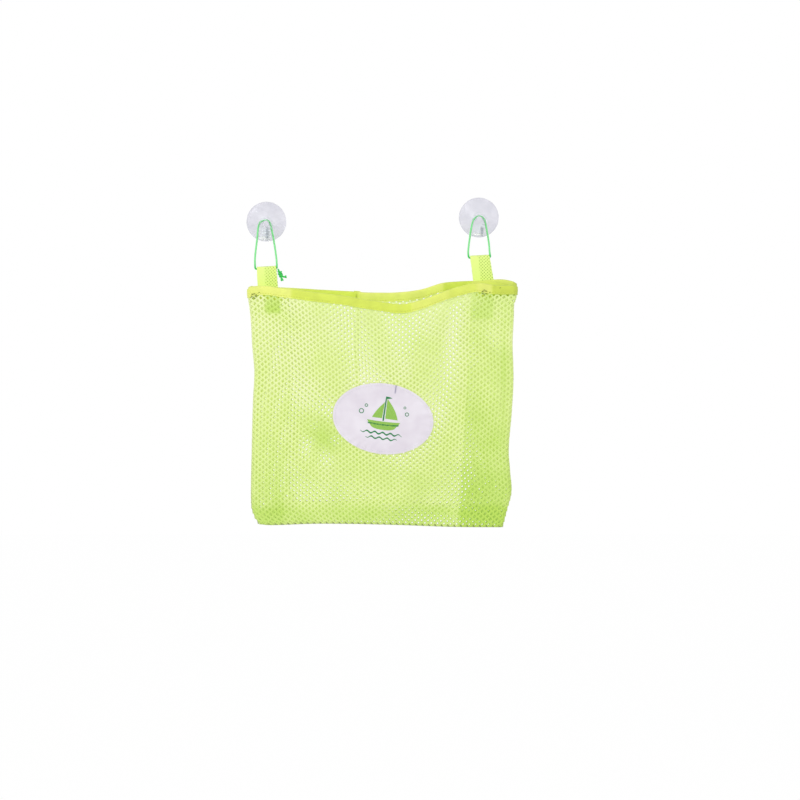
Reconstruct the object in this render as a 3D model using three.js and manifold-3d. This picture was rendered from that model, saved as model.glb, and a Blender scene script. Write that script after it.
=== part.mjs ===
import * as THREE from 'three';
import { mergeVertices } from 'three/addons/utils/BufferGeometryUtils.js';
import Module from 'manifold-3d';

// A gusseted net bag that hangs by two elastic loops from two clear suction cups.
// Millimetres: X runs right, Y into the wall, Z up. The wall is the plane y = 0,
// and the origin lies on it, midway between the two cups.

// Shared sizes
const seatGap = 0.3;
const cutOverrun = 1;

// Suction cups
const cupSpacing = 256;
const cupRise = 5;
const cupDiameter = 48;
const lipWidth = 2;
const lipThickness = 0.9;
const cavityDepth = 4;
const domeHeight = 11.2;
const neckDiameter = 5;
const neckDroop = 2;
const shoulderWidth = 3.6;
const headDiameter = 9;
const headHeight = 3.6;
const domeShares = [[0.84, 0.26], [0.64, 0.52], [0.46, 0.75]];
const cavityShares = [[0.45, 0.86], [0.8, 0.42]];
const cupFacets = 28;

// Hooks snapped on the cup necks
const eyeDiameter = 16.8;
const eyeThickness = 2.4;
const eyePlay = 0.35;
const hookWidth = 12;
const hookReach = 20.5;
const hookThroat = 9.6;
const hookTipHeight = 7.5;
const hookRibWidth = 1.6;
const hookRibHeight = 0.8;
const hookRibOffset = 3;
const hookLeanDegrees = 4;
const eyeFacets = 32;
const hookBendFacets = 8;

// Elastic cord
const cordDiameter = 2;
const cordSides = 8;
const cordBend = 2.2;
const loopHalf = 10;
const swingDrop = 23.5;
const swingPlayUp = 0.75;
const swingPlayDown = 0.1;
const topSteps = 34;
const loopSteps = 52;
const knotWidth = 4.8;
const knotLength = 11.6;
const knotLeanDegrees = 25;
const knotFacets = 12;
const leftKnotAside = 3.4;
const leftKnotDrop = 6.2;
const rightKnotLength = 6.4;
const rightKnotAside = 12.5;
const rightKnotDrop = 45.6;
const rightKnotForward = 0.9;
const tailSteps = 6;

// Webbing tabs
const leftTabAside = 1.3;
const leftTabDrop = 54.2;
const leftFrontTail = 37;
const leftBackTail = 56;
const leftTackDrop = 28;
const rightTabAside = 1.1;
const rightTabDrop = 45.8;
const rightFrontTail = 41;
const rightBackTail = 75;
const rightTackDrop = 40;
const webbingWidth = 24;
const webbingThickness = 1.2;
const foldClearance = 0.6;
const foldFacets = 8;
const tailBend = 4;
const tackWidth = 17;
const tackHeight = 13;
const threadWidth = 0.7;
const threadThickness = 0.4;

// Bag
const bagLeft = -149.4;
const bagRight = 174;
const leftWaist = 12;
const rightWaist = 17.4;
const bagBottom = -369;
const bottomRise = 4.2;
const netThickness = 1.1;
const mouthLevel = -88;
const frontSag = 22.8;
const backLevel = -71.5;
const backSag = 16.5;
const wallGapBottom = 5;
const mouthDepth = 33;
const footDepth = 28;
const belly = 6;
const netOpeningsAcross = 10;
const netOpeningsUp = 7;
const netBarShare = 0.38;
const netMarginShare = 0.01;

// Side gussets and the folded bottom
const gussetFold = 46;
const creaseRadius = 3;
const gussetDroop = 5;
const gussetFootGap = 4.2;
const gussetRows = 12;
const legColumns = 3;
const creaseColumns = 4;
const ridgeHeight = 26;
const ridgeRadius = 2;
const bottomInset = 5;
const bottomLift = 1.5;
const bottomRows = 20;

// Binding tape round the mouth
const bindingHeight = 10.5;
const tapeThickness = 1;
const bindingStations = 34;
const stitchLift = 2;
const frontStitchInsetShare = 0.005;
const backStitchInsetShare = 0.06;
const joinLength = 8;
const joinThickness = 0.8;

// Back seam
const seamX = -18.6;
const seamWidth = 4;
const seamThickness = 1;
const seamRows = 12;
const seamStartShare = 0.12;

// Label
const labelLength = 121;
const labelHeight = 85;
const labelThickness = 0.8;
const labelX = 12.8;
const labelZ = -238.4;
const labelTiltDegrees = -8;
const labelFacets = 40;
const labelRingShares = [0.36, 0.7, 1];
const labelStitchInset = 3;

// Outlines: each pair is a place along the edge and a share of the size it follows.
const leftEdgeShares = [
  [0, 1], [0.03, 0.6], [0.08, 0.32], [0.33, 0.4], [0.55, 0.55],
  [0.68, 0.7], [0.8, 0.5], [0.9, 0.3], [1, 0],
];
const rightEdgeShares = [
  [0, 1], [0.06, 0.76], [0.15, 0.42], [0.24, 0.52], [0.34, 0.62], [0.5, 0.42],
  [0.65, 0.31], [0.8, 0.38], [0.92, 0.31], [1, 0],
];
const bottomEdgeShares = [[0, 0.9], [0.05, 0.6], [0.22, 1], [0.4, 0.95], [0.6, 0.6], [0.8, 0.1], [1, 0]];
const frontRimShares = [
  [0, 0.16], [0.155, 0.21], [0.234, 0.37], [0.358, 0.58], [0.47, 0.84], [0.573, 1], [0.645, 0.79],
  [0.702, 0.5], [0.758, 0.21], [0.815, 0], [0.853, -0.1], [0.917, 0.02], [1, 0.05],
];
const backRimShares = [
  [0, 0.5], [0.15, 0.64], [0.34, 0.85], [0.515, 1], [0.64, 0.78],
  [0.73, 0.27], [0.86, 0.12], [0.95, 0.02], [1, 0.2],
];
const bellyShares = [[0, 0.1], [0.25, 0.5], [0.6, 0.7], [1, 1]];

// Worked out from the sizes above
const cordRadius = cordDiameter / 2;
const cordPlane = -(domeHeight + seatGap + cordRadius);
const eyeBack = -(domeHeight + cordDiameter + 2 * seatGap);
const eyeFront = eyeBack - eyeThickness;
const neckEnd = eyeFront - seatGap;
const foldRadius = cordRadius + foldClearance;
const webbingCentre = foldRadius + webbingThickness / 2;
const bindingHalf = netThickness / 2 + seatGap + tapeThickness;
const rimPlane = cordPlane - foldRadius - webbingThickness - seatGap - bindingHalf;
const netSeat = netThickness + seatGap;
const bindingSeat = 2 * bindingHalf + seatGap;
const joinLift = threadThickness + 2 * seatGap;
const straightShare = 0.955;
const seatEaseShare = 0.1;
const topEnd = swingPlayUp - swingDrop;
const legEnd = -swingDrop - swingPlayDown;

// Each side has a cup, a hook, a loop and a tab. The shares are of loopHalf, [x, z] from the neck's centre,
// and the feet are where the upper part meets the legs.
const sides = [
  {
    name: 'left',
    hand: 1,
    neck: { x: -cupSpacing / 2, z: -cupRise / 2 - neckDroop },
    topFeetShares: [-1.12, 0.97],
    topShares: [
      [-1.03, -1.44], [-0.94, -0.54], [-0.8, 0], [-0.54, 0.29], [-0.1, 0.4], [0.26, 0.33],
      [0.52, -0.06], [0.68, -0.78], [0.86, -1.62],
    ],
    legFeetShares: [-1.13, 0.98],
    leftLegShares: [[-1.26, -3.4], [-1.34, -4.4]],
    rightLegShares: [[1.34, -4.4], [1.18, -3.4]],
    tab: {
      x: -cupSpacing / 2 + leftTabAside,
      z: -cupRise / 2 - neckDroop - leftTabDrop,
      lean: 0.11,
      frontTail: leftFrontTail,
      backTail: leftBackTail,
      tack: leftTackDrop,
    },
  },
  {
    name: 'right',
    hand: -1,
    neck: { x: cupSpacing / 2, z: cupRise / 2 - neckDroop },
    topFeetShares: [-1.12, 1.1],
    topShares: [
      [-1.03, -1.6], [-0.9, -0.9], [-0.76, -0.3], [-0.5, 0.18], [-0.06, 0.4], [0.34, 0.3],
      [0.62, 0], [0.77, -0.54], [0.94, -1.38],
    ],
    legFeetShares: [-1.13, 1.11],
    leftLegShares: [[-1.24, -3.2], [-1.3, -3.9]],
    rightLegShares: [[1.27, -3.9], [1.22, -3.2]],
    tab: {
      x: cupSpacing / 2 + rightTabAside,
      z: cupRise / 2 - neckDroop - rightTabDrop,
      lean: 0.154,
      frontTail: rightFrontTail,
      backTail: rightBackTail,
      tack: rightTackDrop,
    },
  },
];
const [leftSide, rightSide] = sides;
const foldSlope = (rightSide.tab.z - leftSide.tab.z) / (rightSide.tab.x - leftSide.tab.x);

// Solid modelling helpers
const wasm = await Module();
wasm.setup();

function toSolid(geometry) {
  const bare = geometry.clone();
  bare.deleteAttribute('normal');
  bare.deleteAttribute('uv');
  const merged = mergeVertices(bare);
  const vertProperties = new Float32Array(merged.attributes.position.array);
  const triVerts = new Uint32Array(merged.index.array);
  return new wasm.Manifold(new wasm.Mesh({ numProp: 3, vertProperties, triVerts }));
}

function toGeometry(solid) {
  const mesh = solid.getMesh();
  const geometry = new THREE.BufferGeometry();
  geometry.setAttribute('position', new THREE.BufferAttribute(new Float32Array(mesh.vertProperties), 3));
  geometry.setIndex(Array.from(mesh.triVerts));
  geometry.computeVertexNormals();
  return geometry;
}

function joined(geometries) {
  const solids = geometries.map(toSolid);
  return toGeometry(solids.reduce((whole, next) => whole.add(next)));
}

function signedVolume(positions, index) {
  const corner = (i) => new THREE.Vector3().fromArray(positions, 3 * index[i]);
  let volume = 0;
  for (let i = 0; i < index.length; i += 3) {
    volume += corner(i).dot(corner(i + 1).cross(corner(i + 2)));
  }
  return volume;
}

// A closed sheet from rows of { outer, inner } pairs. A ring joins its last row to its first,
// and the cells that isOpen names are left out, with walls round them.
function slab(rows, ring = false, isOpen = () => false) {
  const columns = rows[0].length;
  const positions = [];
  for (const row of rows) {
    for (const pair of row) positions.push(...pair.outer.toArray());
    for (const pair of row) positions.push(...pair.inner.toArray());
  }
  const index = [];
  const quad = (a, b, c, d) => index.push(a, b, c, a, c, d);
  const outer = (row, column) => 2 * row * columns + column;
  const inner = (row, column) => outer(row, column) + columns;
  const last = columns - 1;
  const spans = ring ? rows.length : rows.length - 1;
  for (let row = 0; row < spans; row += 1) {
    const next = (row + 1) % rows.length;
    for (let c = 0; c < last; c += 1) {
      if (!isOpen(row, c)) {
        quad(outer(row, c), outer(row, c + 1), outer(next, c + 1), outer(next, c));
        quad(inner(row, c), inner(next, c), inner(next, c + 1), inner(row, c + 1));
        continue;
      }
      quad(outer(row, c), outer(row, c + 1), inner(row, c + 1), inner(row, c));
      quad(outer(next, c + 1), outer(next, c), inner(next, c), inner(next, c + 1));
      if (!isOpen(row, c - 1)) quad(outer(next, c), outer(row, c), inner(row, c), inner(next, c));
      if (!isOpen(row, c + 1)) {
        quad(outer(row, c + 1), outer(next, c + 1), inner(next, c + 1), inner(row, c + 1));
      }
    }
    quad(outer(row, 0), outer(next, 0), inner(next, 0), inner(row, 0));
    quad(outer(next, last), outer(row, last), inner(row, last), inner(next, last));
  }
  if (!ring) {
    const end = rows.length - 1;
    for (let c = 0; c < last; c += 1) {
      quad(outer(0, c + 1), outer(0, c), inner(0, c), inner(0, c + 1));
      quad(outer(end, c), outer(end, c + 1), inner(end, c + 1), inner(end, c));
    }
  }
  return closedGeometry(positions, index);
}

function closedGeometry(positions, index) {
  if (signedVolume(positions, index) < 0) index.reverse();
  const geometry = new THREE.BufferGeometry();
  geometry.setAttribute('position', new THREE.Float32BufferAttribute(positions, 3));
  geometry.setIndex(index);
  geometry.computeVertexNormals();
  return geometry;
}

function spread(count) {
  return Array.from({ length: count + 1 }, (_, i) => i / count);
}

function blend(start, end, share) {
  return start + (end - start) * share;
}

function eased(share) {
  const t = Math.min(Math.max(share, 0), 1);
  return t * t * (3 - 2 * t);
}

// A smooth value at a place along a table of [place, value] shares.
function along(shares, place) {
  const last = shares.length - 1;
  const slope = (i) => {
    const before = shares[Math.max(i - 1, 0)];
    const after = shares[Math.min(i + 1, last)];
    return (after[1] - before[1]) / (after[0] - before[0]);
  };
  let i = 0;
  while (i < last - 1 && place > shares[i + 1][0]) i += 1;
  const span = shares[i + 1][0] - shares[i][0];
  const t = (place - shares[i][0]) / span;
  const bend = (t - 1) * t * span;
  const straight = blend(shares[i][1], shares[i + 1][1], eased(t));
  return straight + bend * ((t - 1) * slope(i) + t * slope(i + 1));
}

// The bag's surfaces: u runs from left to right, v from the bottom to the mouth.
// They stand straight up where the binding holds them.
function heightShare(v) {
  return Math.min(v / straightShare, 1);
}

function leftEdge(v) {
  return bagLeft + leftWaist * along(leftEdgeShares, heightShare(v));
}

function rightEdge(v) {
  return bagRight - rightWaist * along(rightEdgeShares, heightShare(v));
}

function footLevel(u) {
  return bagBottom + bottomRise * along(bottomEdgeShares, u);
}

function frontRimTop(u) {
  return mouthLevel - frontSag * along(frontRimShares, u) + bindingHeight;
}

function backRimTop(u) {
  return backLevel - backSag * along(backRimShares, u);
}

function backPlane(v) {
  return blend(-wallGapBottom, rimPlane, heightShare(v));
}

function frontPlane(u, v) {
  const height = heightShare(v);
  const bulge = belly * Math.sin(Math.PI * u) * along(bellyShares, height);
  return backPlane(v) - blend(footDepth, mouthDepth, height) - bulge;
}

// The rows of a plain sheet: evenly up to where it stands straight, then one to the mouth.
function heights(rows) {
  return [...spread(rows).map((share) => share * straightShare), 1];
}

function backPoint(u, v) {
  const top = backRimTop(u) - tapeThickness - seatGap;
  const x = blend(leftEdge(v), rightEdge(v), u);
  return new THREE.Vector3(x, backPlane(v), blend(footLevel(u), top, v));
}

function frontPoint(u, v) {
  const top = frontRimTop(u) - tapeThickness - seatGap;
  const x = blend(leftEdge(v), rightEdge(v), u);
  return new THREE.Vector3(x, frontPlane(u, v), blend(footLevel(u), top, v));
}

function offsetPair(centre, across, half) {
  return {
    outer: centre.clone().addScaledVector(across, half),
    inner: centre.clone().addScaledVector(across, -half),
  };
}

const outward = new THREE.Vector3(0, -1, 0);

// Evenly spaced openings between two places, each as its start, middle and end.
function openingShares(count, low, high) {
  const pitch = (high - low) / count;
  const reach = pitch * (1 - netBarShare) / 2;
  return spread(count).slice(0, -1).map((share) => {
    const middle = blend(low, high, share) + pitch / 2;
    return [middle - reach, middle, middle + reach];
  });
}

// A net panel is a sheet with a plain grid of openings, which stands for its fine mesh.
function netPanel(point) {
  const across = openingShares(netOpeningsAcross, netMarginShare, 1 - netMarginShare);
  const up = openingShares(netOpeningsUp, netMarginShare, straightShare);
  const columnShares = [0, ...across.flat(), 1];
  const rowShares = [0, ...up.flatMap(([start, , end]) => [start, end]), straightShare, 1];
  const rows = rowShares.map((v) => (
    columnShares.map((u) => offsetPair(point(u, v), outward, netThickness / 2))
  ));
  const openRow = (row) => row % 2 === 1 && row < 2 * netOpeningsUp;
  const openColumn = (c) => c % 3 !== 0 && c > 0 && c < 3 * netOpeningsAcross;
  return slab(rows, false, (row, c) => openRow(row) && openColumn(c));
}

// A gusset is folded inward: its plan runs from the front edge round the crease to the back edge.
function gussetPlan(side, v) {
  const atLeft = side.hand > 0;
  const edge = atLeft ? leftEdge(v) : rightEdge(v);
  const u = atLeft ? 0 : 1;
  const seat = blend(netSeat, bindingSeat, eased(1 - (1 - heightShare(v)) / seatEaseShare));
  const front = frontPlane(u, v) + seat;
  const back = backPlane(v) - seat;
  const middle = (front + back) / 2;
  const creaseX = edge + side.hand * (gussetFold - creaseRadius);
  const plan = [];
  for (const share of spread(legColumns)) {
    plan.push([blend(edge, creaseX, share), blend(front, middle - creaseRadius, share)]);
  }
  for (const share of spread(creaseColumns).slice(1, -1)) {
    const angle = Math.PI * (share - 0.5);
    const reach = side.hand * creaseRadius * Math.cos(angle);
    plan.push([creaseX + reach, middle + creaseRadius * Math.sin(angle)]);
  }
  for (const share of spread(legColumns)) {
    plan.push([blend(creaseX, edge, share), blend(middle + creaseRadius, back, share)]);
  }
  return plan.map(([x, y]) => new THREE.Vector3(x, y, 0));
}

function planNormals(plan, hand) {
  return plan.map((_, i) => {
    const before = plan[Math.max(i - 1, 0)];
    const after = plan[Math.min(i + 1, plan.length - 1)];
    const run = after.clone().sub(before).normalize();
    return new THREE.Vector3(run.y * hand, -run.x * hand, 0);
  });
}

function gussetTop(side, share) {
  const u = side.hand > 0 ? 0 : 1;
  return blend(frontRimTop(u), backRimTop(u), share) - gussetDroop * Math.sin(Math.PI * share);
}

// The gusset's lower edge follows the folded bottom up to its ridge.
function gussetFeet(side) {
  const u = side.hand > 0 ? 0 : 1;
  const plan = gussetPlan(side, 0);
  const [front, back] = [plan[0].y, plan[plan.length - 1].y];
  const [middle, half] = [(front + back) / 2, (back - front) / 2];
  return plan.map(({ y }) => {
    const climb = Math.min((half - Math.abs(y - middle)) / (half - ridgeRadius), 1);
    return footLevel(u) + bottomLift + gussetFootGap + ridgeHeight * climb;
  });
}

function gussetNet(side) {
  const feet = gussetFeet(side);
  const rows = heights(gussetRows).map((v) => {
    const plan = gussetPlan(side, v);
    const normals = planNormals(plan, side.hand);
    return plan.map((point, i) => {
      const share = i / (plan.length - 1);
      const top = gussetTop(side, share) - tapeThickness - seatGap;
      point.z = blend(feet[i], top, v);
      return offsetPair(point, normals[i], netThickness / 2);
    });
  });
  return slab(rows);
}

// The bottom net is folded up between the front and the back.
function bottomSection(u) {
  const front = frontPlane(u, 0) + netSeat;
  const back = backPlane(0) - netSeat;
  const middle = (front + back) / 2;
  const foot = footLevel(u) + bottomLift;
  const ridge = foot + ridgeHeight - ridgeRadius;
  const section = [[front, foot], [middle - ridgeRadius, ridge]];
  for (const share of spread(creaseColumns).slice(1, -1)) {
    const angle = Math.PI * share;
    section.push([middle - ridgeRadius * Math.cos(angle), ridge + ridgeRadius * Math.sin(angle)]);
  }
  section.push([middle + ridgeRadius, ridge], [back, foot]);
  return section;
}

function bottomNet() {
  const rows = spread(bottomRows).map((u) => {
    const x = blend(leftEdge(0) + bottomInset, rightEdge(0) - bottomInset, u);
    const section = bottomSection(u).map(([y, z]) => new THREE.Vector3(x, y, z));
    return section.map((point, i) => {
      const before = section[Math.max(i - 1, 0)];
      const after = section[Math.min(i + 1, section.length - 1)];
      const run = after.clone().sub(before).normalize();
      return offsetPair(point, new THREE.Vector3(0, -run.z, run.y), netThickness / 2);
    });
  });
  return slab(rows);
}

// The binding is a tape folded over a net's top edge: a sleeve grows it to fit over the tape itself.
function foldedTape(stations, half, wall, height) {
  const rows = stations.map(({ centre, across, top }) => {
    const corner = (side, depth, reach) => (
      new THREE.Vector3(centre.x, centre.y, top - depth).addScaledVector(across, side * reach)
    );
    const slot = half - wall;
    return [
      { outer: corner(1, height, half), inner: corner(1, height, slot) },
      { outer: corner(1, 0, half), inner: corner(1, wall, slot) },
      { outer: corner(-1, 0, half), inner: corner(-1, wall, slot) },
      { outer: corner(-1, height, half), inner: corner(-1, height, slot) },
    ];
  });
  return slab(rows);
}

function frontStation(u) {
  return { centre: frontPoint(u, 1), across: outward, top: frontRimTop(u) };
}

function backStation(u) {
  return { centre: backPoint(u, 1), across: outward, top: backRimTop(u) };
}

function rimBinding(station) {
  return foldedTape(spread(bindingStations).map(station), bindingHalf, tapeThickness, bindingHeight);
}

function gussetBinding(side) {
  const plan = gussetPlan(side, 1);
  const normals = planNormals(plan, side.hand);
  const stations = plan.map((centre, i) => (
    { centre, across: normals[i], top: gussetTop(side, i / (plan.length - 1)) }
  ));
  return foldedTape(stations, bindingHalf, tapeThickness, bindingHeight);
}

function rimStitching(station, inset) {
  const rows = spread(bindingStations).map((share) => {
    const { centre, top } = station(blend(inset, 1 - inset, share));
    const y = centre.y - bindingHalf - seatGap - threadThickness / 2;
    return [-1, 1].map((side) => {
      const z = top - bindingHeight + stitchLift + side * threadWidth / 2;
      return offsetPair(new THREE.Vector3(centre.x, y, z), outward, threadThickness / 2);
    });
  });
  return slab(rows);
}

function bindingJoin() {
  const half = joinLength / (2 * (bagRight - bagLeft));
  const middle = (seamX - bagLeft) / (bagRight - bagLeft);
  const stations = spread(2).map((share) => {
    const station = backStation(blend(middle - half, middle + half, share));
    station.top += seatGap + joinThickness;
    return station;
  });
  const height = bindingHeight + 2 * (seatGap + joinThickness);
  return foldedTape(stations, bindingHalf + joinLift + joinThickness, joinThickness, height);
}

function backSeam() {
  const clearTop = 1 - (bindingHeight + joinThickness + 3 * seatGap) / (backLevel - bagBottom - backSag);
  const rows = spread(seamRows).map((share) => {
    const v = blend(seamStartShare, clearTop, share);
    return [-1, 1].map((side) => {
      const x = seamX + side * seamWidth / 2;
      const u = (x - leftEdge(v)) / (rightEdge(v) - leftEdge(v));
      const point = backPoint(u, v);
      point.y -= netThickness / 2 + seatGap + seamThickness / 2;
      return offsetPair(point, outward, seamThickness / 2);
    });
  });
  return slab(rows);
}

// The label lies on the front net: a place on it is found from its x and z.
function frontNetPlane(x, z) {
  let v = (z - bagBottom) / (mouthLevel - bagBottom);
  const u = (x - leftEdge(v)) / (rightEdge(v) - leftEdge(v));
  v = (z - footLevel(u)) / (frontRimTop(u) - tapeThickness - seatGap - footLevel(u));
  return frontPlane(u, v);
}

function labelPoint(angle, radiusX, radiusZ, lift) {
  const tilt = THREE.MathUtils.degToRad(labelTiltDegrees);
  const right = radiusX * Math.cos(angle);
  const up = radiusZ * Math.sin(angle);
  const x = labelX + right * Math.cos(tilt) - up * Math.sin(tilt);
  const z = labelZ + right * Math.sin(tilt) + up * Math.cos(tilt);
  return new THREE.Vector3(x, frontNetPlane(x, z) - lift, z);
}

function labelPatch() {
  const nearLift = netThickness / 2 + seatGap;
  const positions = [];
  const index = [];
  const faces = [nearLift + labelThickness, nearLift];
  for (const lift of faces) {
    positions.push(...labelPoint(0, 0, 0, lift).toArray());
    for (const share of labelRingShares) {
      for (let i = 0; i < labelFacets; i += 1) {
        const angle = 2 * Math.PI * i / labelFacets;
        const point = labelPoint(angle, share * labelLength / 2, share * labelHeight / 2, lift);
        positions.push(...point.toArray());
      }
    }
  }
  const rings = labelRingShares.length;
  const faceSize = 1 + rings * labelFacets;
  const at = (face, ring, i) => face * faceSize + 1 + ring * labelFacets + i % labelFacets;
  const triangle = (face, a, b, c) => (face === 0 ? index.push(a, b, c) : index.push(a, c, b));
  for (let i = 0; i < labelFacets; i += 1) {
    for (let face = 0; face < faces.length; face += 1) {
      triangle(face, face * faceSize, at(face, 0, i), at(face, 0, i + 1));
      for (let ring = 0; ring < rings - 1; ring += 1) {
        triangle(face, at(face, ring, i), at(face, ring + 1, i), at(face, ring + 1, i + 1));
        triangle(face, at(face, ring, i), at(face, ring + 1, i + 1), at(face, ring, i + 1));
      }
    }
    const [nearA, nearB] = [at(0, rings - 1, i), at(0, rings - 1, i + 1)];
    const [farA, farB] = [at(1, rings - 1, i), at(1, rings - 1, i + 1)];
    index.push(nearA, farA, farB, nearA, farB, nearB);
  }
  return closedGeometry(positions, index);
}

function labelStitching() {
  const lift = netThickness / 2 + seatGap + labelThickness + seatGap + threadThickness / 2;
  const rows = [];
  for (let i = 0; i < labelFacets; i += 1) {
    const angle = 2 * Math.PI * i / labelFacets;
    rows.push([-1, 1].map((side) => {
      const inset = labelStitchInset + side * threadWidth / 2;
      const point = labelPoint(angle, labelLength / 2 - inset, labelHeight / 2 - inset, lift);
      return offsetPair(point, outward, threadThickness / 2);
    }));
  }
  return slab(rows, true);
}

// A suction cup is turned about its own axis, and its neck droops a little under the load.
function suctionCup(side) {
  const radius = cupDiameter / 2;
  const cavityRadius = radius - lipWidth;
  const neckRadius = neckDiameter / 2;
  const headRadius = headDiameter / 2;
  const chamfer = headHeight / 4;
  const profile = [
    [0, -cavityDepth],
    ...cavityShares.map(([across, deep]) => [across * cavityRadius, -deep * cavityDepth]),
    [cavityRadius, 0],
    [radius, 0],
    [radius, -lipThickness],
    ...domeShares.map(([across, high]) => [across * radius, -high * domeHeight]),
    [neckRadius + shoulderWidth, -domeHeight + lipThickness],
    [neckRadius, -domeHeight],
    [neckRadius, neckEnd],
    [headRadius, neckEnd - chamfer],
    [headRadius, neckEnd - headHeight + chamfer],
    [headRadius - chamfer, neckEnd - headHeight],
    [0, neckEnd - headHeight],
  ].map(([x, y]) => new THREE.Vector2(x, y)).reverse();
  const geometry = new THREE.LatheGeometry(profile, cupFacets);
  const places = geometry.attributes.position;
  for (let i = 0; i < places.count; i += 1) {
    const droop = neckDroop * (1 - eased(-places.getY(i) / domeHeight));
    places.setZ(i, places.getZ(i) + droop);
  }
  geometry.translate(side.neck.x, 0, side.neck.z);
  return toGeometry(toSolid(geometry));
}

// A hook's side outline runs down the back, round the throat and up to the tip.
function hookOutline() {
  const back = -eyeBack;
  const front = -eyeFront;
  const throat = hookThroat / 2;
  const bendCentre = front + throat;
  const bendLevel = -hookReach + throat + eyeThickness;
  const armTop = -(neckDiameter / 2 + eyePlay + eyeThickness);
  const tipTop = bendLevel + hookTipHeight - eyeThickness / 2;
  const outline = new THREE.Shape();
  outline.moveTo(back, armTop);
  outline.lineTo(back, bendLevel);
  outline.absarc(bendCentre, bendLevel, throat + eyeThickness, Math.PI, 2 * Math.PI, false);
  outline.lineTo(bendCentre + throat + eyeThickness, tipTop);
  outline.absarc(bendCentre + throat + eyeThickness / 2, tipTop, eyeThickness / 2, 0, Math.PI, false);
  outline.lineTo(bendCentre + throat, bendLevel);
  outline.absarc(bendCentre, bendLevel, throat, 2 * Math.PI, Math.PI, true);
  outline.lineTo(front, armTop);
  return outline;
}

function hookArm() {
  const settings = { depth: hookWidth, bevelEnabled: false, curveSegments: hookBendFacets };
  const arm = new THREE.ExtrudeGeometry(hookOutline(), settings);
  arm.translate(0, 0, -hookWidth / 2);
  const turn = new THREE.Matrix4().makeBasis(
    new THREE.Vector3(0, -1, 0),
    new THREE.Vector3(0, 0, 1),
    new THREE.Vector3(-1, 0, 0),
  );
  return arm.applyMatrix4(turn);
}

function hook(side) {
  const eye = new THREE.CylinderGeometry(eyeDiameter / 2, eyeDiameter / 2, eyeThickness, eyeFacets);
  eye.translate(0, (eyeBack + eyeFront) / 2, 0);
  const boreRadius = neckDiameter / 2 + eyePlay;
  const bore = new THREE.CylinderGeometry(boreRadius, boreRadius, eyeThickness + 2 * cutOverrun, eyeFacets);
  bore.translate(0, (eyeBack + eyeFront) / 2, 0);
  const ribTop = -eyeDiameter / 2;
  const ribFoot = -hookReach + hookThroat / 2 + eyeThickness;
  const rib = new THREE.BoxGeometry(hookRibWidth, hookRibHeight + cutOverrun, ribTop - ribFoot);
  rib.translate(hookRibOffset, eyeFront - hookRibHeight / 2 + cutOverrun / 2, (ribTop + ribFoot) / 2);
  const body = toSolid(eye).add(toSolid(hookArm())).add(toSolid(rib)).subtract(toSolid(bore));
  const geometry = toGeometry(body);
  geometry.rotateY(THREE.MathUtils.degToRad(hookLeanDegrees));
  geometry.translate(side.neck.x, 0, side.neck.z);
  return geometry;
}

// Elastic cord: one loop a side, split where it starts to swing.
function cordSection() {
  const section = new THREE.Shape();
  section.absarc(0, 0, cordRadius, 0, 2 * Math.PI, false);
  return new THREE.Shape(section.getSpacedPoints(cordSides).slice(0, -1));
}

function cordTube(points, steps) {
  const path = new THREE.CatmullRomCurve3(points.map(([x, y, z]) => new THREE.Vector3(x, y, z)), false);
  const tube = new THREE.ExtrudeGeometry(cordSection(), { steps, extrudePath: path, bevelEnabled: false });
  return toGeometry(toSolid(tube));
}

function fromNeck(side, shares) {
  return shares.map(([x, z]) => [side.neck.x + x * loopHalf, cordPlane, side.neck.z + z * loopHalf]);
}

// The two places beside the neck, at a level below it, where a loop's parts meet.
function loopFeet(side, feetShares, level) {
  return feetShares.map((x) => [side.neck.x + x * loopHalf, cordPlane, side.neck.z + level]);
}

function elasticTop(side) {
  const [start, end] = loopFeet(side, side.topFeetShares, topEnd);
  return cordTube([start, ...fromNeck(side, side.topShares), end], topSteps);
}

function foldCorner(side, hand) {
  const { tab } = side;
  const edge = tab.x + hand * webbingWidth / 2;
  const level = tab.z + foldSlope * hand * webbingWidth / 2;
  const turned = cordBend * (1 - Math.SQRT1_2);
  return [
    [edge, cordPlane, level],
    [edge + hand * (cordBend - turned), cordPlane, level + turned],
    [edge + hand * cordBend, cordPlane, level + cordBend],
  ];
}

function elasticLoop(side) {
  const [start, end] = loopFeet(side, side.legFeetShares, legEnd);
  const points = [
    start,
    ...fromNeck(side, side.leftLegShares),
    ...foldCorner(side, -1).reverse(),
    [side.tab.x, cordPlane, side.tab.z],
    ...foldCorner(side, 1),
    ...fromNeck(side, side.rightLegShares),
    end,
  ];
  return cordTube(points, loopSteps);
}

function knotBody(length, leanDegrees) {
  const knot = new THREE.SphereGeometry(1, knotFacets, knotFacets / 2);
  knot.scale(knotWidth / 2, length / 2, knotWidth / 2);
  knot.rotateX(Math.PI / 2);
  knot.rotateY(THREE.MathUtils.degToRad(-leanDegrees));
  return knot;
}

// The left knot hangs beside the tab's fold, with one cut end pointing away.
function leftKnot() {
  const [cornerX, , cornerZ] = foldCorner(leftSide, 1)[1];
  const centre = [cornerX + leftKnotAside, cordPlane, cornerZ - leftKnotDrop];
  const knot = knotBody(knotLength, knotLeanDegrees);
  knot.translate(...centre);
  const tailShares = [[0, 0], [0.32, -0.16], [0.64, -0.36]];
  const tail = tailShares.map(([x, z]) => [centre[0] + x * loopHalf, cordPlane, centre[2] + z * loopHalf]);
  return joined([knot, cordTube(tail, tailSteps)]);
}

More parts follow.
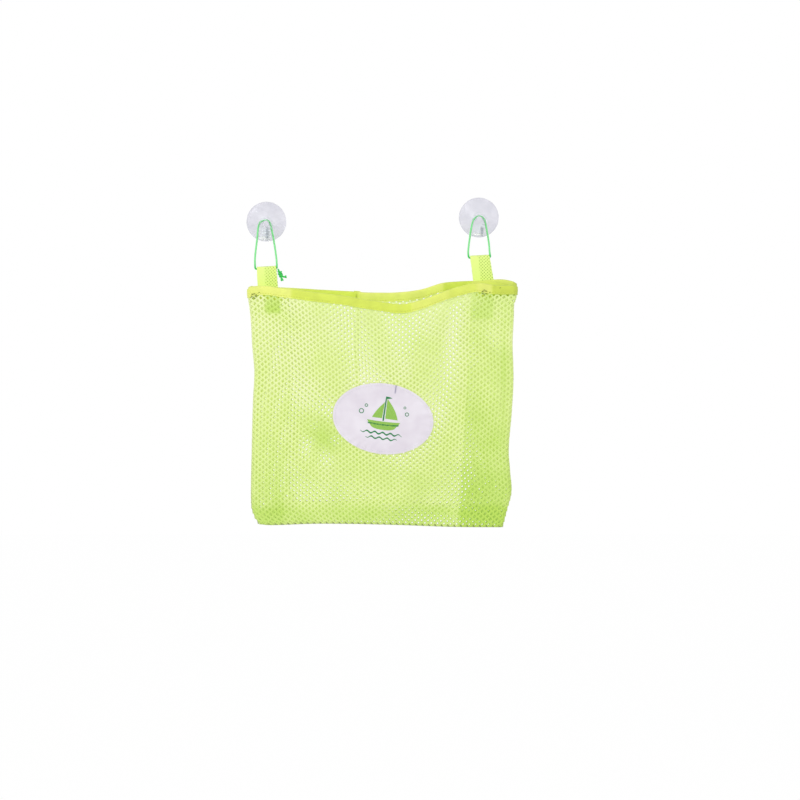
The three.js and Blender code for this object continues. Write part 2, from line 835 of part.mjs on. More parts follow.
// The right knot lies below the tab's front tail, and its cord runs up between the two layers.
function rightKnot() {
  const { tab } = rightSide;
  const knot = knotBody(rightKnotLength, 0);
  knot.translate(tab.x + rightKnotAside, cordPlane - rightKnotForward, tab.z - rightKnotDrop);
  const tailShares = [[1.03, -0.36], [1.08, -2], [1.2, -3.4], [1.25, -4.3]];
  const tail = tailShares.map(([x, z]) => [tab.x + x * loopHalf, cordPlane, tab.z + z * loopHalf]);
  return joined([knot, cordTube(tail, tailSteps)]);
}

// A webbing tab is folded over the cord: its section runs up the front layer and down the back one.
function tabSection(tab) {
  const tailShare = (tab.z - tab.backTail - bagBottom) / (backLevel - bagBottom);
  const backNetRear = backPlane(tailShare) + netThickness / 2;
  const tailPlane = Math.min(backNetRear + seatGap + webbingThickness / 2, cordPlane + webbingCentre);
  const section = [{ y: cordPlane - webbingCentre, z: -tab.frontTail, across: [-1, 0] }];
  for (const share of spread(foldFacets)) {
    const angle = Math.PI * (1 - share);
    const [c, s] = [Math.cos(angle), Math.sin(angle)];
    section.push({ y: cordPlane + webbingCentre * c, z: webbingCentre * s, across: [c, s] });
  }
  section.push({ y: cordPlane + webbingCentre, z: -tab.frontTail - tailBend, across: [1, 0] });
  section.push({ y: tailPlane, z: -tab.backTail, across: [1, 0] });
  return section;
}

function tabPlace(tab, x, y, z) {
  return new THREE.Vector3(tab.x + x - tab.lean * z, y, tab.z + z + foldSlope * x);
}

function webbingTab({ tab }) {
  const rows = tabSection(tab).map(({ y, z, across }) => {
    const [reachY, reachZ] = across.map((part) => part * webbingThickness / 2);
    return [-1, 1].map((side) => {
      const x = side * webbingWidth / 2;
      return {
        outer: tabPlace(tab, x, y + reachY, z + reachZ),
        inner: tabPlace(tab, x, y - reachY, z - reachZ),
      };
    });
  });
  return slab(rows);
}

// Box stitching on the tab's back layer, where it crosses the rim.
function tabStitching({ tab }) {
  const y = cordPlane + webbingCentre + webbingThickness / 2 + seatGap + threadThickness / 2;
  const corners = [[-1, -1], [1, -1], [1, 1], [-1, 1]];
  const rows = corners.map(([alongX, alongZ]) => [0, threadWidth].map((inset) => {
    const x = alongX * (tackWidth / 2 - inset);
    const z = -tab.tack + alongZ * (tackHeight / 2 - inset);
    return offsetPair(tabPlace(tab, x, y, z), outward, threadThickness / 2);
  }));
  return slab(rows, true);
}

// Colours and finish
const materials = {
  cup: { color: '#e6e6ec', roughness: 0.25, transparent: true, opacity: 0.6 },
  hook: { color: '#dfe6ea', roughness: 0.2, transparent: true, opacity: 0.7 },
  cord: { color: '#7be88a', roughness: 0.75 },
  knot: { color: '#41d656', roughness: 0.75 },
  webbing: { color: '#dcf67e', roughness: 0.85 },
  binding: { color: '#e6f563', roughness: 0.8 },
  net: { color: '#cdf25f', roughness: 0.8 },
  label: { color: '#eae4ec', roughness: 0.6 },
  thread: { color: '#d7f070', roughness: 0.8 },
};

const organizer = new THREE.Group();

function addPiece(name, geometry, materialName) {
  const piece = new THREE.Mesh(geometry, new THREE.MeshStandardMaterial(materials[materialName]));
  piece.name = name;
  organizer.add(piece);
}

for (const side of sides) {
  addPiece(`${side.name}_suction_cup`, suctionCup(side), 'cup');
  addPiece(`${side.name}_hook`, hook(side), 'hook');
  addPiece(`${side.name}_elastic_top`, elasticTop(side), 'cord');
  addPiece(`${side.name}_elastic_loop`, elasticLoop(side), 'cord');
  addPiece(`${side.name}_webbing_tab`, webbingTab(side), 'webbing');
  addPiece(`${side.name}_tab_stitching`, tabStitching(side), 'thread');
  addPiece(`${side.name}_gusset_net`, gussetNet(side), 'net');
  addPiece(`${side.name}_gusset_binding`, gussetBinding(side), 'binding');
}
addPiece('left_elastic_knot', leftKnot(), 'knot');
addPiece('right_elastic_knot', rightKnot(), 'knot');
addPiece('back_net', netPanel(backPoint), 'net');
addPiece('bottom_net', bottomNet(), 'net');
addPiece('front_net', netPanel(frontPoint), 'net');
addPiece('back_rim_binding', rimBinding(backStation), 'binding');
addPiece('front_rim_binding', rimBinding(frontStation), 'binding');
addPiece('binding_join', bindingJoin(), 'binding');
addPiece('back_rim_stitching', rimStitching(backStation, backStitchInsetShare), 'thread');
addPiece('front_rim_stitching', rimStitching(frontStation, frontStitchInsetShare), 'thread');
addPiece('back_seam', backSeam(), 'net');
addPiece('label_patch', labelPatch(), 'label');
addPiece('label_stitching', labelStitching(), 'thread');

export default organizer;
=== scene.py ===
import math
import bpy
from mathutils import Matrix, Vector, noise


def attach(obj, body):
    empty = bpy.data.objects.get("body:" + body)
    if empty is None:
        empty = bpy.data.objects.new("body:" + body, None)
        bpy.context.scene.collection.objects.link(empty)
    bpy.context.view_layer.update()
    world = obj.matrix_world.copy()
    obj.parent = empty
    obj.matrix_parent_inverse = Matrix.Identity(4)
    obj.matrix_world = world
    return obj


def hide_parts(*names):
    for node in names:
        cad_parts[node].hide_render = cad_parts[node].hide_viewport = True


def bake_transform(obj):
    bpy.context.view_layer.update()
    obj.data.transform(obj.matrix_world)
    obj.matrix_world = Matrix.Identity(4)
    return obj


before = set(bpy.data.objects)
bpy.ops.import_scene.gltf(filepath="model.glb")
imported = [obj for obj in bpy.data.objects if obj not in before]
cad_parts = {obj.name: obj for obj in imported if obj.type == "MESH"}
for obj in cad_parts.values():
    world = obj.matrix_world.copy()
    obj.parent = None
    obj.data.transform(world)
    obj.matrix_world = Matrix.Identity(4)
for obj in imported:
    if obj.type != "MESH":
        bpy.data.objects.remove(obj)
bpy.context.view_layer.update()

# A net bag on two suction cups, dressed round its CAD frame.
# X runs right, Y into the wall, Z up. Lengths are in millimetres until a mesh is made.
mm = 0.001


def mixed(start, end, share):
    return start + (end - start) * share


def clamped(value, low=0.0, high=1.0):
    return min(max(value, low), high)


def eased(share):
    t = clamped(share)
    return t * t * (3 - 2 * t)


def hump(value, centre, width):
    return math.exp(-((value - centre) / width) ** 2)


def wander(x, z, size, seed=0.0):
    # smooth unevenness from -1 to 1, size is its grain in the units of x and z
    return noise.noise(Vector((x / size, seed, z / size)))


def alongTable(table, place):
    # a smooth value at a place along a table of (place, value)
    last = len(table) - 1
    i = 0
    while i < last - 1 and place > table[i + 1][0]:
        i += 1

    def slope(k):
        before, after = table[max(k - 1, 0)], table[min(k + 1, last)]
        return (after[1] - before[1]) / (after[0] - before[0])

    span = table[i + 1][0] - table[i][0]
    t = (place - table[i][0]) / span
    straight = mixed(table[i][1], table[i + 1][1], eased(t))
    return straight + (t - 1) * t * span * ((t - 1) * slope(i) + t * slope(i + 1))


def smoothPath(points, step, closed=False):
    # a Catmull-Rom line through the points, sampled about every step
    pts = [Vector(p) for p in points]
    count = len(pts)
    spans = count if closed else count - 1
    line = []
    for i in range(spans):
        if closed:
            a, b, c, d = (pts[(i + k) % count] for k in (-1, 0, 1, 2))
        else:
            b, c = pts[i], pts[i + 1]
            a = pts[i - 1] if i else 2 * b - c
            d = pts[i + 2] if i + 2 < count else 2 * c - b
        parts = max(2, round((c - b).length / step))
        for k in range(parts):
            t = k / parts
            line.append(0.5 * (2 * b + (c - a) * t + (2 * a - 5 * b + 4 * c - d) * t ** 2
                               + (3 * b - a - 3 * c + d) * t ** 3))
    if not closed:
        line.append(pts[-1])
    return line


def pick(piece):
    bpy.ops.object.select_all(action="DESELECT")
    piece.select_set(True)
    bpy.context.view_layer.objects.active = piece


def placed(name, data):
    piece = bpy.data.objects.new(name, data)
    bpy.context.scene.collection.objects.link(piece)
    return piece


def pieceFrom(name, points, faces, uvs=None):
    mesh = bpy.data.meshes.new(name)
    mesh.from_pydata([Vector(p) * mm for p in points], [], faces)
    if uvs:
        layer = mesh.uv_layers.new(name="surface")
        for loop in mesh.loops:
            layer.data[loop.index].uv = uvs[loop.vertex_index]
    mesh.update()
    return placed(name, mesh)


def finishModifiers(piece):
    pick(piece)
    for modifier in list(piece.modifiers):
        bpy.ops.object.modifier_apply(modifier=modifier.name)


def smoothed(piece, angle=None):
    pick(piece)
    if angle is None:
        bpy.ops.object.shade_smooth()
    else:
        bpy.ops.object.shade_smooth_by_angle(angle=math.radians(angle))
    return piece


def edited(piece, *steps):
    # each step is a mesh operator with its settings, run on the whole piece
    pick(piece)
    bpy.ops.object.mode_set(mode="EDIT")
    bpy.ops.mesh.select_all(action="SELECT")
    for operator, settings in steps:
        operator(**settings)
    bpy.ops.object.mode_set(mode="OBJECT")
    return piece


facesOut = (bpy.ops.mesh.normals_make_consistent, dict(inside=False))


def thickened(piece, thickness):
    # gives a sheet its thickness, half to each side
    wall = piece.modifiers.new("wall", "SOLIDIFY")
    wall.thickness = thickness * mm
    wall.offset = 0
    finishModifiers(piece)
    return edited(piece, facesOut)


def gridPiece(name, rows, ring=False, loop=False, caps=False):
    # rows of points; ring joins each row's ends, loop joins the last row to the first
    width = len(rows[0])
    points = [p for row in rows for p in row]
    uvs = []
    run = 0.0
    for r, row in enumerate(rows):
        if r:
            run += (Vector(row[0]) - Vector(rows[r - 1][0])).length
        side = 0.0
        for c, p in enumerate(row):
            if c:
                side += (Vector(p) - Vector(row[c - 1])).length
            uvs.append((side / 100, run / 100))
    faces = []
    for r in range(len(rows) if loop else len(rows) - 1):
        low, high = r * width, (r + 1) % len(rows) * width
        for c in range(width if ring else width - 1):
            d = (c + 1) % width
            faces.append((low + c, low + d, high + d, high + c))
    if caps:
        faces.append(tuple(range(width))[::-1])
        faces.append(tuple((len(rows) - 1) * width + c for c in range(width)))
    return pieceFrom(name, points, faces, uvs)


def tubePiece(name, line, radius, sides=12, closed=False, squeeze=None):
    # rings of points round a line, carried along without twisting; squeeze(share) scales the radius
    count = len(line)
    rows = []
    normal = None
    for i, point in enumerate(line):
        before = line[i - 1] if i or closed else line[0]
        after = line[(i + 1) % count] if i + 1 < count or closed else line[-1]
        run = (after - before).normalized()
        if normal is None:
            normal = run.orthogonal().normalized()
            if abs(run.y) < 0.9:
                normal = (Vector((0, -1, 0)) - run * run.dot(Vector((0, -1, 0)))).normalized()
        normal = (normal - run * run.dot(normal)).normalized()
        other = run.cross(normal)
        size = radius * (squeeze(i / (count - 1)) if squeeze else 1)
        rows.append([point + size * (normal * math.cos(a) + other * math.sin(a))
                     for a in (2 * math.pi * k / sides for k in range(sides))])
    return smoothed(edited(gridPiece(name, rows, ring=True, loop=closed, caps=not closed), facesOut))


def joinedPieces(name, pieces):
    bpy.ops.object.select_all(action="DESELECT")
    for piece in pieces:
        piece.select_set(True)
    bpy.context.view_layer.objects.active = pieces[0]
    bpy.ops.object.join()
    pieces[0].name = pieces[0].data.name = name
    return pieces[0]


# Where the bag's surfaces lie: u runs left to right, v from the foot to the mouth.
# Edge and rim tables give, along a height or a width from 0 to 1, the share of the waist or the sag there.
bag = dict(
    left=-149.4, right=174, leftWaist=12, rightWaist=17.4, bottom=-369, bottomRise=4.2,
    mouthLevel=-88, frontSag=22.8, backLevel=-71.5, backSag=16.5, wallGap=5, rimPlane=-17.45,
    footDepth=28, mouthDepth=33, belly=6, straightShare=0.955,
    gussetFold=46, creaseRadius=3, gussetDroop=5, netSeat=1.4, bindingSeat=4.0, seatEaseShare=0.1,
    backFootDrop=2.2, ridgeHeight=26, ridgeShare=0.94, bottomLift=1.5, gussetClimb=1.15, gussetLap=4,
    bindingHeight=10.5, rimGap=1.3,
    leftEdge=[(0, 1), (0.03, 0.6), (0.08, 0.32), (0.33, 0.4), (0.55, 0.55), (0.68, 0.7), (0.8, 0.5),
              (0.9, 0.4), (0.97, 0.28), (1, 0.16)],
    rightEdge=[(0, 1), (0.06, 0.76), (0.15, 0.42), (0.24, 0.52), (0.34, 0.62), (0.5, 0.42), (0.65, 0.31),
               (0.8, 0.38), (0.92, 0.31), (0.975, 0.3), (1, 0.14)],
    bottomEdge=[(0, 0.9), (0.05, 0.6), (0.22, 1), (0.4, 0.95), (0.6, 0.6), (0.8, 0.1), (1, 0)],
    frontRim=[(0, 0.17), (0.03, 0.06), (0.07, 0.07), (0.11, 0.15), (0.155, 0.21), (0.234, 0.37),
              (0.358, 0.58), (0.47, 0.84), (0.573, 1), (0.645, 0.79), (0.702, 0.5), (0.758, 0.21),
              (0.815, 0), (0.853, -0.1), (0.917, 0.02), (1, 0.05)],
    backRim=[(0, 0.5), (0.15, 0.64), (0.34, 0.85), (0.515, 1), (0.64, 0.78), (0.73, 0.27), (0.86, 0.12),
             (0.95, 0.02), (1, 0.2)],
    bellyTable=[(0, 0.1), (0.25, 0.5), (0.6, 0.7), (1, 1)],
)
bagWidth = bag["right"] - bag["left"]


def heightShare(v):
    return clamped(v / bag["straightShare"])


def leftEdge(v):
    return bag["left"] + bag["leftWaist"] * alongTable(bag["leftEdge"], heightShare(v))


def rightEdge(v):
    return bag["right"] - bag["rightWaist"] * alongTable(bag["rightEdge"], heightShare(v))


def acrossAt(x, v):
    return (x - leftEdge(v)) / (rightEdge(v) - leftEdge(v))


def footLevel(u):
    return bag["bottom"] + bag["bottomRise"] * alongTable(bag["bottomEdge"], clamped(u))


def frontRimTop(u):
    sag = bag["frontSag"] * alongTable(bag["frontRim"], clamped(u))
    return bag["mouthLevel"] - sag + bag["bindingHeight"]


def backRimTop(u):
    return bag["backLevel"] - bag["backSag"] * alongTable(bag["backRim"], clamped(u))


def backPlane(v):
    return mixed(-bag["wallGap"], bag["rimPlane"], heightShare(v))


def frontPlane(u, v):
    h = heightShare(v)
    bulge = bag["belly"] * math.sin(math.pi * clamped(u)) * alongTable(bag["bellyTable"], h)
    return backPlane(v) - mixed(bag["footDepth"], bag["mouthDepth"], h) - bulge


# The empty net hangs in soft folds from the tabs, and is still at its edges and rims.
drape = dict(tabFold=2.2, ripple=1.3, crumple=0.9, crumpleSize=34, backCrumple=1.5, width=320,
             frontHeight=280, backHeight=300, footStill=0.1, rimStill=0.12, billow=1.6, billowSize=30,
             bottomWave=0.9, bottomWaveSize=22, bottomDepth=60)


def stillness(u, v):
    across = math.sin(math.pi * clamped(u)) ** 0.5
    return across * eased(v / drape["footStill"]) * eased((1 - v) / drape["rimStill"])


def crumpled(u, v, height, seed):
    return drape["crumple"] * wander(u * drape["width"], v * height, drape["crumpleSize"], seed)


def frontRelief(u, v):
    # a fold runs down and inward from each tab, and the cloth under the label is smooth
    folds = drape["tabFold"] * (hump(u, 0.2 + 0.1 * (1 - v), 0.05) - hump(u, 0.8 - 0.06 * (1 - v), 0.06))
    ripples = drape["ripple"] * math.sin(14 * u + 5 * v) * (1 - hump(u, 0.5, 0.2) * hump(v, 0.47, 0.2))
    return stillness(u, v) * (folds + ripples + crumpled(u, v, drape["frontHeight"], 3.1))


def backRelief(u, v):
    ripples = drape["ripple"] * math.sin(11 * u - 4 * v)
    return stillness(u, v) * (ripples + drape["backCrumple"] * crumpled(u, v, drape["backHeight"], 8.7))


def frontPoint(u, v):
    top = frontRimTop(u) - bag["rimGap"]
    x = mixed(leftEdge(v), rightEdge(v), u)
    return Vector((x, frontPlane(u, v) - frontRelief(u, v), mixed(footLevel(u), top, v)))


def backPoint(u, v):
    top = backRimTop(u) - bag["rimGap"]
    x = mixed(leftEdge(v), rightEdge(v), u)
    return Vector((x, backPlane(v) - backRelief(u, v), mixed(footLevel(u) - bag["backFootDrop"], top, v)))


sides = {"left": dict(hand=1, u=0, edge=leftEdge), "right": dict(hand=-1, u=1, edge=rightEdge)}


def gussetPlan(side, v, turn=0.0):
    # the inward fold seen from above, from the front edge round the crease to the back edge;
    # turn pulls its first and last points in, where the fold at the bag's edge is rounded
    hand, u, edge = side["hand"], side["u"], side["edge"](v)
    seat = mixed(bag["netSeat"], bag["bindingSeat"], eased(1 - (1 - heightShare(v)) / bag["seatEaseShare"]))
    frontY, backY = frontPlane(u, v), backPlane(v)
    legFront, legBack = frontY + seat, backY - seat
    middle = (legFront + legBack) / 2
    radius = bag["creaseRadius"]
    creaseX = edge + hand * (bag["gussetFold"] - radius)

    def leg(legY, foldY):
        return [(mixed(edge, creaseX, share), mixed(legY, foldY, eased(share) * 0.4 + share * 0.6))
                for share in (0.12, 0.3, 0.5, 0.75, 0.92)]

    plan = [(edge + hand * turn, frontY), (edge, (frontY + legFront) / 2), (edge + hand * turn, legFront)]
    plan += leg(legFront, middle - radius)
    for a in (math.radians(angle) for angle in (-90, -45, 0, 45, 90)):
        plan.append((creaseX + hand * radius * math.cos(a), middle + radius * math.sin(a)))
    plan += leg(legBack, middle + radius)[::-1]
    plan += [(edge + hand * turn, legBack), (edge, (backY + legBack) / 2), (edge + hand * turn, backY)]
    return plan


def onPlan(plan, share):
    # the point at a share of the plan's length
    runs = [math.dist(a, b) for a, b in zip(plan, plan[1:])]
    left = clamped(share) * sum(runs)
    for (a, b), run in zip(zip(plan, plan[1:]), runs):
        if left <= run:
            t = left / run if run else 0
            return mixed(a[0], b[0], t), mixed(a[1], b[1], t)
        left -= run
    return plan[-1]


def gussetTop(side, share):
    u = side["u"]
    return mixed(frontRimTop(u), backRimTop(u), share) - bag["gussetDroop"] * math.sin(math.pi * share)


def gussetPoint(side, share, v):
    u = side["u"]
    x, y = onPlan(gussetPlan(side, v), share)
    footY = onPlan(gussetPlan(side, 0), share)[1]

    def depthAt(place, height):
        front = frontPlane(u, height)
        return (place - front) / (backPlane(height) - front)

    depth = depthAt(footY, 0)
    climb = clamped((1 - abs(2 * depth - 1)) * bag["gussetClimb"])
    foot = footLevel(u) - bag["backFootDrop"] * depth + (bag["ridgeHeight"] + bag["gussetLap"]) * climb
    top = gussetTop(side, clamped(depthAt(y, v))) - bag["rimGap"]
    billow = drape["billow"] * math.sin(math.pi * share)
    billow *= wander(share * 90, v * drape["frontHeight"], drape["billowSize"], 5.3 + u)
    return Vector((x + billow, y + 0.5 * billow, mixed(foot, top, v)))


def bottomPoint(u, share):
    # the folded bottom, from the front foot up to its ridge and down to the back foot
    front, back = frontPlane(u, 0), backPlane(0)
    lift = bag["bottomLift"] * eased(6 * min(share, 1 - share))
    climb = 1 - abs(2 * share - 1)
    rise = bag["ridgeHeight"] * min(climb / bag["ridgeShare"], 1)
    x = mixed(leftEdge(0), rightEdge(0), u)
    wave = wander(u * drape["width"], share * drape["bottomDepth"], drape["bottomWaveSize"], 6.4)
    wave *= drape["bottomWave"] * math.sin(math.pi * share)
    z = footLevel(u) - bag["backFootDrop"] * share + lift + rise
    return Vector((x, mixed(front, back, share) + wave, z))


# The net: one knit of six-sided meshes runs round the whole bag, cut into panels at its folds.
# It counts meshes across, round a gusset, up the front and under the foot; barShare is a mesh's
# short level bar as a share of the column spacing, and holes past holeReach from their centre close.
knit = dict(columns=77, gussetColumns=23, rows=45, bottomRows=10, barShare=0.34,
            strandThickness=0.85, strandEdge=0.45, unevenness=0.05, holeReach=4, closedHole=0.2,
            bottomInset=0.016)
columns, gussetColumns = knit["columns"], knit["gussetColumns"]
rows, bottomRows = knit["rows"], knit["bottomRows"]

# each panel's strand width, and the share of its cut that is cloth, the rest being holes
closeness = dict(front=(2.3, 0.8), back=(3.2, 0.93), gusset=(2.5, 0.87), bottom=(2.7, 0.81))


def meshCorners(c, r):
    bar = knit["barShare"] / 2
    return [(c - bar, r - 0.5), (c + bar, r - 0.5), (c + 1 - bar, r), (c + bar, r + 0.5), (c - bar, r + 0.5),
            (c - 1 + bar, r)]


def knitPanel(name, centres, place, topRow, kind):
    # centres of the meshes in columns and rows, place turns a column and a row into a point
    found, points, faces = {}, [], []
    for c, r in centres:
        face = []
        for column, row in meshCorners(c, r):
            key = (round(column * 1000), round(row * 1000))
            if key not in found:
                found[key] = len(points)
                jog = knit["unevenness"] * (1 if 0 < row < topRow else 0)
                points.append(place(column + jog * wander(column, row, 0.73, 1.5),
                                    clamped(row + jog * wander(column, row, 0.61, 2.5), -bottomRows, topRow)))
            face.append(found[key])
        faces.append(face)
    piece = pieceFrom(name, points, faces)
    cores = len(points)
    width = closeness[kind][0] * mm
    edited(piece, (bpy.ops.mesh.inset, dict(thickness=width / 2, use_individual=True, use_even_offset=True)))
    for face, (c, r) in zip(piece.data.polygons, centres):
        # where a fold squeezes a mesh, its hole closes instead of turning inside out
        centre = place(c, clamped(r, 0, topRow)) * mm
        for hole in (piece.data.vertices[i] for i in face.vertices):
            if (hole.co - centre).length > knit["holeReach"] * mm:
                hole.co = centre + (hole.co - centre).normalized() * knit["closedHole"] * mm
    # the inset left the holes selected
    bpy.ops.object.mode_set(mode="EDIT")
    bpy.ops.mesh.delete(type="FACE")
    bpy.ops.object.mode_set(mode="OBJECT")
    piece.vertex_groups.new(name="core").add(range(cores), 1.0, "REPLACE")
    yarn = piece.modifiers.new("yarn", "SOLIDIFY")
    yarn.thickness = knit["strandThickness"] * mm
    yarn.offset = 0
    yarn.vertex_group = "core"
    yarn.thickness_vertex_group = knit["strandEdge"]
    finishModifiers(piece)
    piece.vertex_groups.clear()
    return smoothed(piece)


def columnCentres(span, height, parity):
    # every other column of meshes stands half a mesh higher
    centres = []
    for c in span:
        lift = 0 if (c + parity) % 2 else 0.5
        centres += [(c + 0.5, r + lift) for r in range(height if lift else height + 1)]
    return centres


bunch = dict(u=0.27, v=0.37, across=0.07, up=0.1, pull=0.45)


def bunched(c, r):
    # the back net is bunched where it was folded for packing, which shows as a darker patch; painted shade in
    # the net's tone deepens it further
    u, v = c / columns - bunch["u"], r / rows - bunch["v"]
    pull = bunch["pull"] * math.exp(-((u / bunch["across"]) ** 2 + (v / bunch["up"]) ** 2))
    return c - pull * u * columns, r - pull * v * rows


def netPlace(panelPoint, behind):
    # past its panel's edges the knit runs on under the foot and round the gussets; behind is 0 or 1
    def place(c, r):
        if behind:
            c, r = bunched(c, r)
        if r < 0:
            return bottomPoint(clamped(c / columns), abs(behind + r / bottomRows))
        if c < 0:
            return gussetPoint(sides["left"], abs(behind + c / gussetColumns), r / rows)
        if c > columns:
            return gussetPoint(sides["right"], abs(behind - (c - columns) / gussetColumns), r / rows)
        return panelPoint(c / columns, r / rows)
    return place


def gussetPlace(side):
    return lambda c, r: gussetPoint(side, clamped(c / gussetColumns), clamped(r / rows))


def bottomPlace(c, r):
    inset = knit["bottomInset"]
    return bottomPoint(clamped(c / columns, inset, 1 - inset), clamped(r / bottomRows))


panelCentres = columnCentres(range(columns), rows, 0)
frontNet = knitPanel("bag-net-front", panelCentres, netPlace(frontPoint, 0), rows, "front")
backNet = knitPanel("bag-net-back", panelCentres, netPlace(backPoint, 1), rows, "back")
leftGusset = knitPanel("bag-net-gusset-left", columnCentres(range(gussetColumns), rows, 1),
                       gussetPlace(sides["left"]), rows, "gusset")
rightGusset = knitPanel("bag-net-gusset-right", columnCentres(range(gussetColumns), rows, columns % 2),
                        gussetPlace(sides["right"]), rows, "gusset")
bottomCentres = [(c, r) for c, r in columnCentres(range(2, columns - 2), bottomRows, 0) if 0 < r < bottomRows]
bottomNet = knitPanel("bag-net-bottom", bottomCentres, bottomPlace, bottomRows, "bottom")
print("net panels knitted")


# The binding: a tape folded over the mouth, round the whole rim.
# Its stitches pull it in at stitchShare of its height, with a pucker at every other station.
tape = dict(height=10.5, thickness=0.8, half=1.5, puckers=0.28, stitchShare=0.8, pullWide=0.12,
            puckerWide=0.14, puckerShare=0.4, waves=0.55, waveSize=26, lean=0.35, step=2.2)


def overRim(half):
    # a tape's half turn over the rim, each point's reach from the middle and depth from the top
    return [(half * math.cos(a), half * (1 - math.sin(a))) for a in (math.pi * k / 6 for k in range(7))]


def foldedTape(name, stations):
    # each station is (x, y, across, top); the tape's section goes up one face, over and down the other
    bands = []
    for i, (x, y, across, top) in enumerate(stations):
        nearDrop = tape["height"] + tape["waves"] * wander(x, y, tape["waveSize"], 4.4)
        farDrop = tape["height"] + tape["waves"] * wander(x, y, tape["waveSize"], 9.4)
        top += 0.5 * tape["waves"] * wander(x, y, tape["waveSize"] * 0.7, 1.2)
        lean = tape["lean"] * wander(x, y, tape["waveSize"], 12.8)
        row = []
        for side, drop in ((1, nearDrop), (-1, farDrop)):
            leg = []
            for share in (1, 0.86, 0.72, 0.5, 0.3):
                pucker = tape["puckers"] * hump(share, tape["stitchShare"], tape["puckerWide"])
                pucker *= (1 if i % 2 else -1) * tape["puckerShare"]
                waist = tape["half"] - tape["puckers"] * hump(share, tape["stitchShare"], tape["pullWide"])
                reach = side * (waist + pucker) + lean * share
                leg.append((reach, tape["half"] + share * (drop - tape["half"])))
            row += leg + overRim(tape["half"]) if side > 0 else leg[::-1]
        bands.append([Vector((x + across[0] * reach, y + across[1] * reach, top - depth))
                      for reach, depth in row])
    return smoothed(thickened(gridPiece(name, bands), tape["thickness"]), 50)


corner = 2.2  # the tape's bend where the mouth turns into a gusset


def rimStations(point, rimTop, outward, count):
    start = corner / bagWidth
    stations = []
    for i in range(count + 1):
        u = mixed(start, 1 - start, i / count)
        p = point(u, 1)
        stations.append((p.x, p.y, (0, outward), rimTop(u)))
    return stations


def gussetStations(side):
    plan = gussetPlan(side, 1, corner)
    line = smoothPath([(x, y, 0) for x, y in plan], 1.2)
    stations = []
    for i, p in enumerate(line):
        # the first and last stations lie flat against the ends of the front and back tapes
        inward = Vector((side["hand"], 0, 0))
        if i == 0:
            run = -inward
        elif i == len(line) - 1:
            run = inward
        else:
            run = (line[i + 1] - line[i - 1]).normalized()
        across = (-run.y * side["hand"], run.x * side["hand"])
        share = clamped((p.y - plan[0][1]) / (plan[-1][1] - plan[0][1]))
        stations.append((p.x, p.y, across, gussetTop(side, share)))
    return stations


stationCount = round(bagWidth / tape["step"])
frontTape = foldedTape("rim-tape-front", rimStations(frontPoint, frontRimTop, -1, stationCount))
backTape = foldedTape("rim-tape-back", rimStations(backPoint, backRimTop, 1, stationCount))
leftTape = foldedTape("rim-tape-gusset-left", gussetStations(sides["left"]))
rightTape = foldedTape("rim-tape-gusset-right", gussetStations(sides["right"]))
print("binding folded over the mouth")


# The binding's lapped join, and the seam down the back net.
lap = dict(x=-18.6, length=8, thickness=0.8, overhang=0.9)
seam = dict(x=-18.6, width=4, thickness=0.9, startShare=0.12, rows=60, endShare=0.955, proud=1.3, ridge=0.5)


def lapPiece():
    bands = []
    middle, half = (lap["x"] - bag["left"]) / bagWidth, lap["length"] / 2 / bagWidth
    reach = tape["half"] + tape["thickness"] / 2 + lap["thickness"] / 2
    drop = tape["height"] + lap["overhang"]
    for i in range(7):
        u = mixed(middle - half, middle + half, i / 6)
        p = backPoint(u, 1)
        top = backRimTop(u) + lap["thickness"] + 0.1
        depths = [drop, drop * 0.6, drop * 0.3]
        row = [(reach, depth) for depth in depths] + overRim(reach)
        row += [(-reach, depth) for depth in depths[::-1]]
        bands.append([Vector((p.x, p.y - away, top - depth)) for away, depth in row])
    return smoothed(thickened(gridPiece("rim-tape-join", bands), lap["thickness"]), 50)


def seamPiece():
    bands = []
    for i in range(seam["rows"] + 1):
        v = mixed(seam["startShare"], seam["endShare"], i / seam["rows"])
        row = []
        for k in range(5):
            across = (k / 4 - 0.5) * seam["width"]
            x = seam["x"] + across + 0.3 * wander(v * 280, 0, 14, 2.2)
            ridge = seam["ridge"] * (1 - (2 * k / 4 - 1) ** 2) + (0.12 if i % 2 else -0.12)
            row.append(backPoint(acrossAt(x, v), v) + Vector((0, -seam["proud"] - ridge, 0)))
        bands.append(row)
    return smoothed(thickened(gridPiece("back-seam", bands), seam["thickness"]))


backSeam = seamPiece()
tapeJoin = lapPiece()


# Stitches: one short thread, modelled once and laid along each sewn line.
thread = dict(length=2.3, gap=0.8, width=0.62, height=0.5, dive=0.35)


def stitchShape():
    bpy.ops.object.select_all(action="DESELECT")
    bpy.ops.mesh.primitive_uv_sphere_add(segments=8, ring_count=6, radius=1, location=(0, 0, 0))
    model = bpy.context.active_object
    size = (thread["length"] / 2, thread["height"] / 2, thread["width"] / 2)
    turn = dict(value=math.pi / 2, orient_axis="Y", center_override=(0, 0, 0))
    edited(model, (bpy.ops.transform.rotate, turn), (bpy.ops.transform.resize, dict(value=size)))
    # the thread's ends dive into the cloth
    points = [v.co + Vector((0, thread["dive"] * (abs(v.co.x) / size[0]) ** 3, 0))
              for v in model.data.vertices]
    faces = [tuple(f.vertices) for f in model.data.polygons]
    bpy.data.objects.remove(model)
    return points, faces


stitchPoints, stitchFaces = stitchShape()


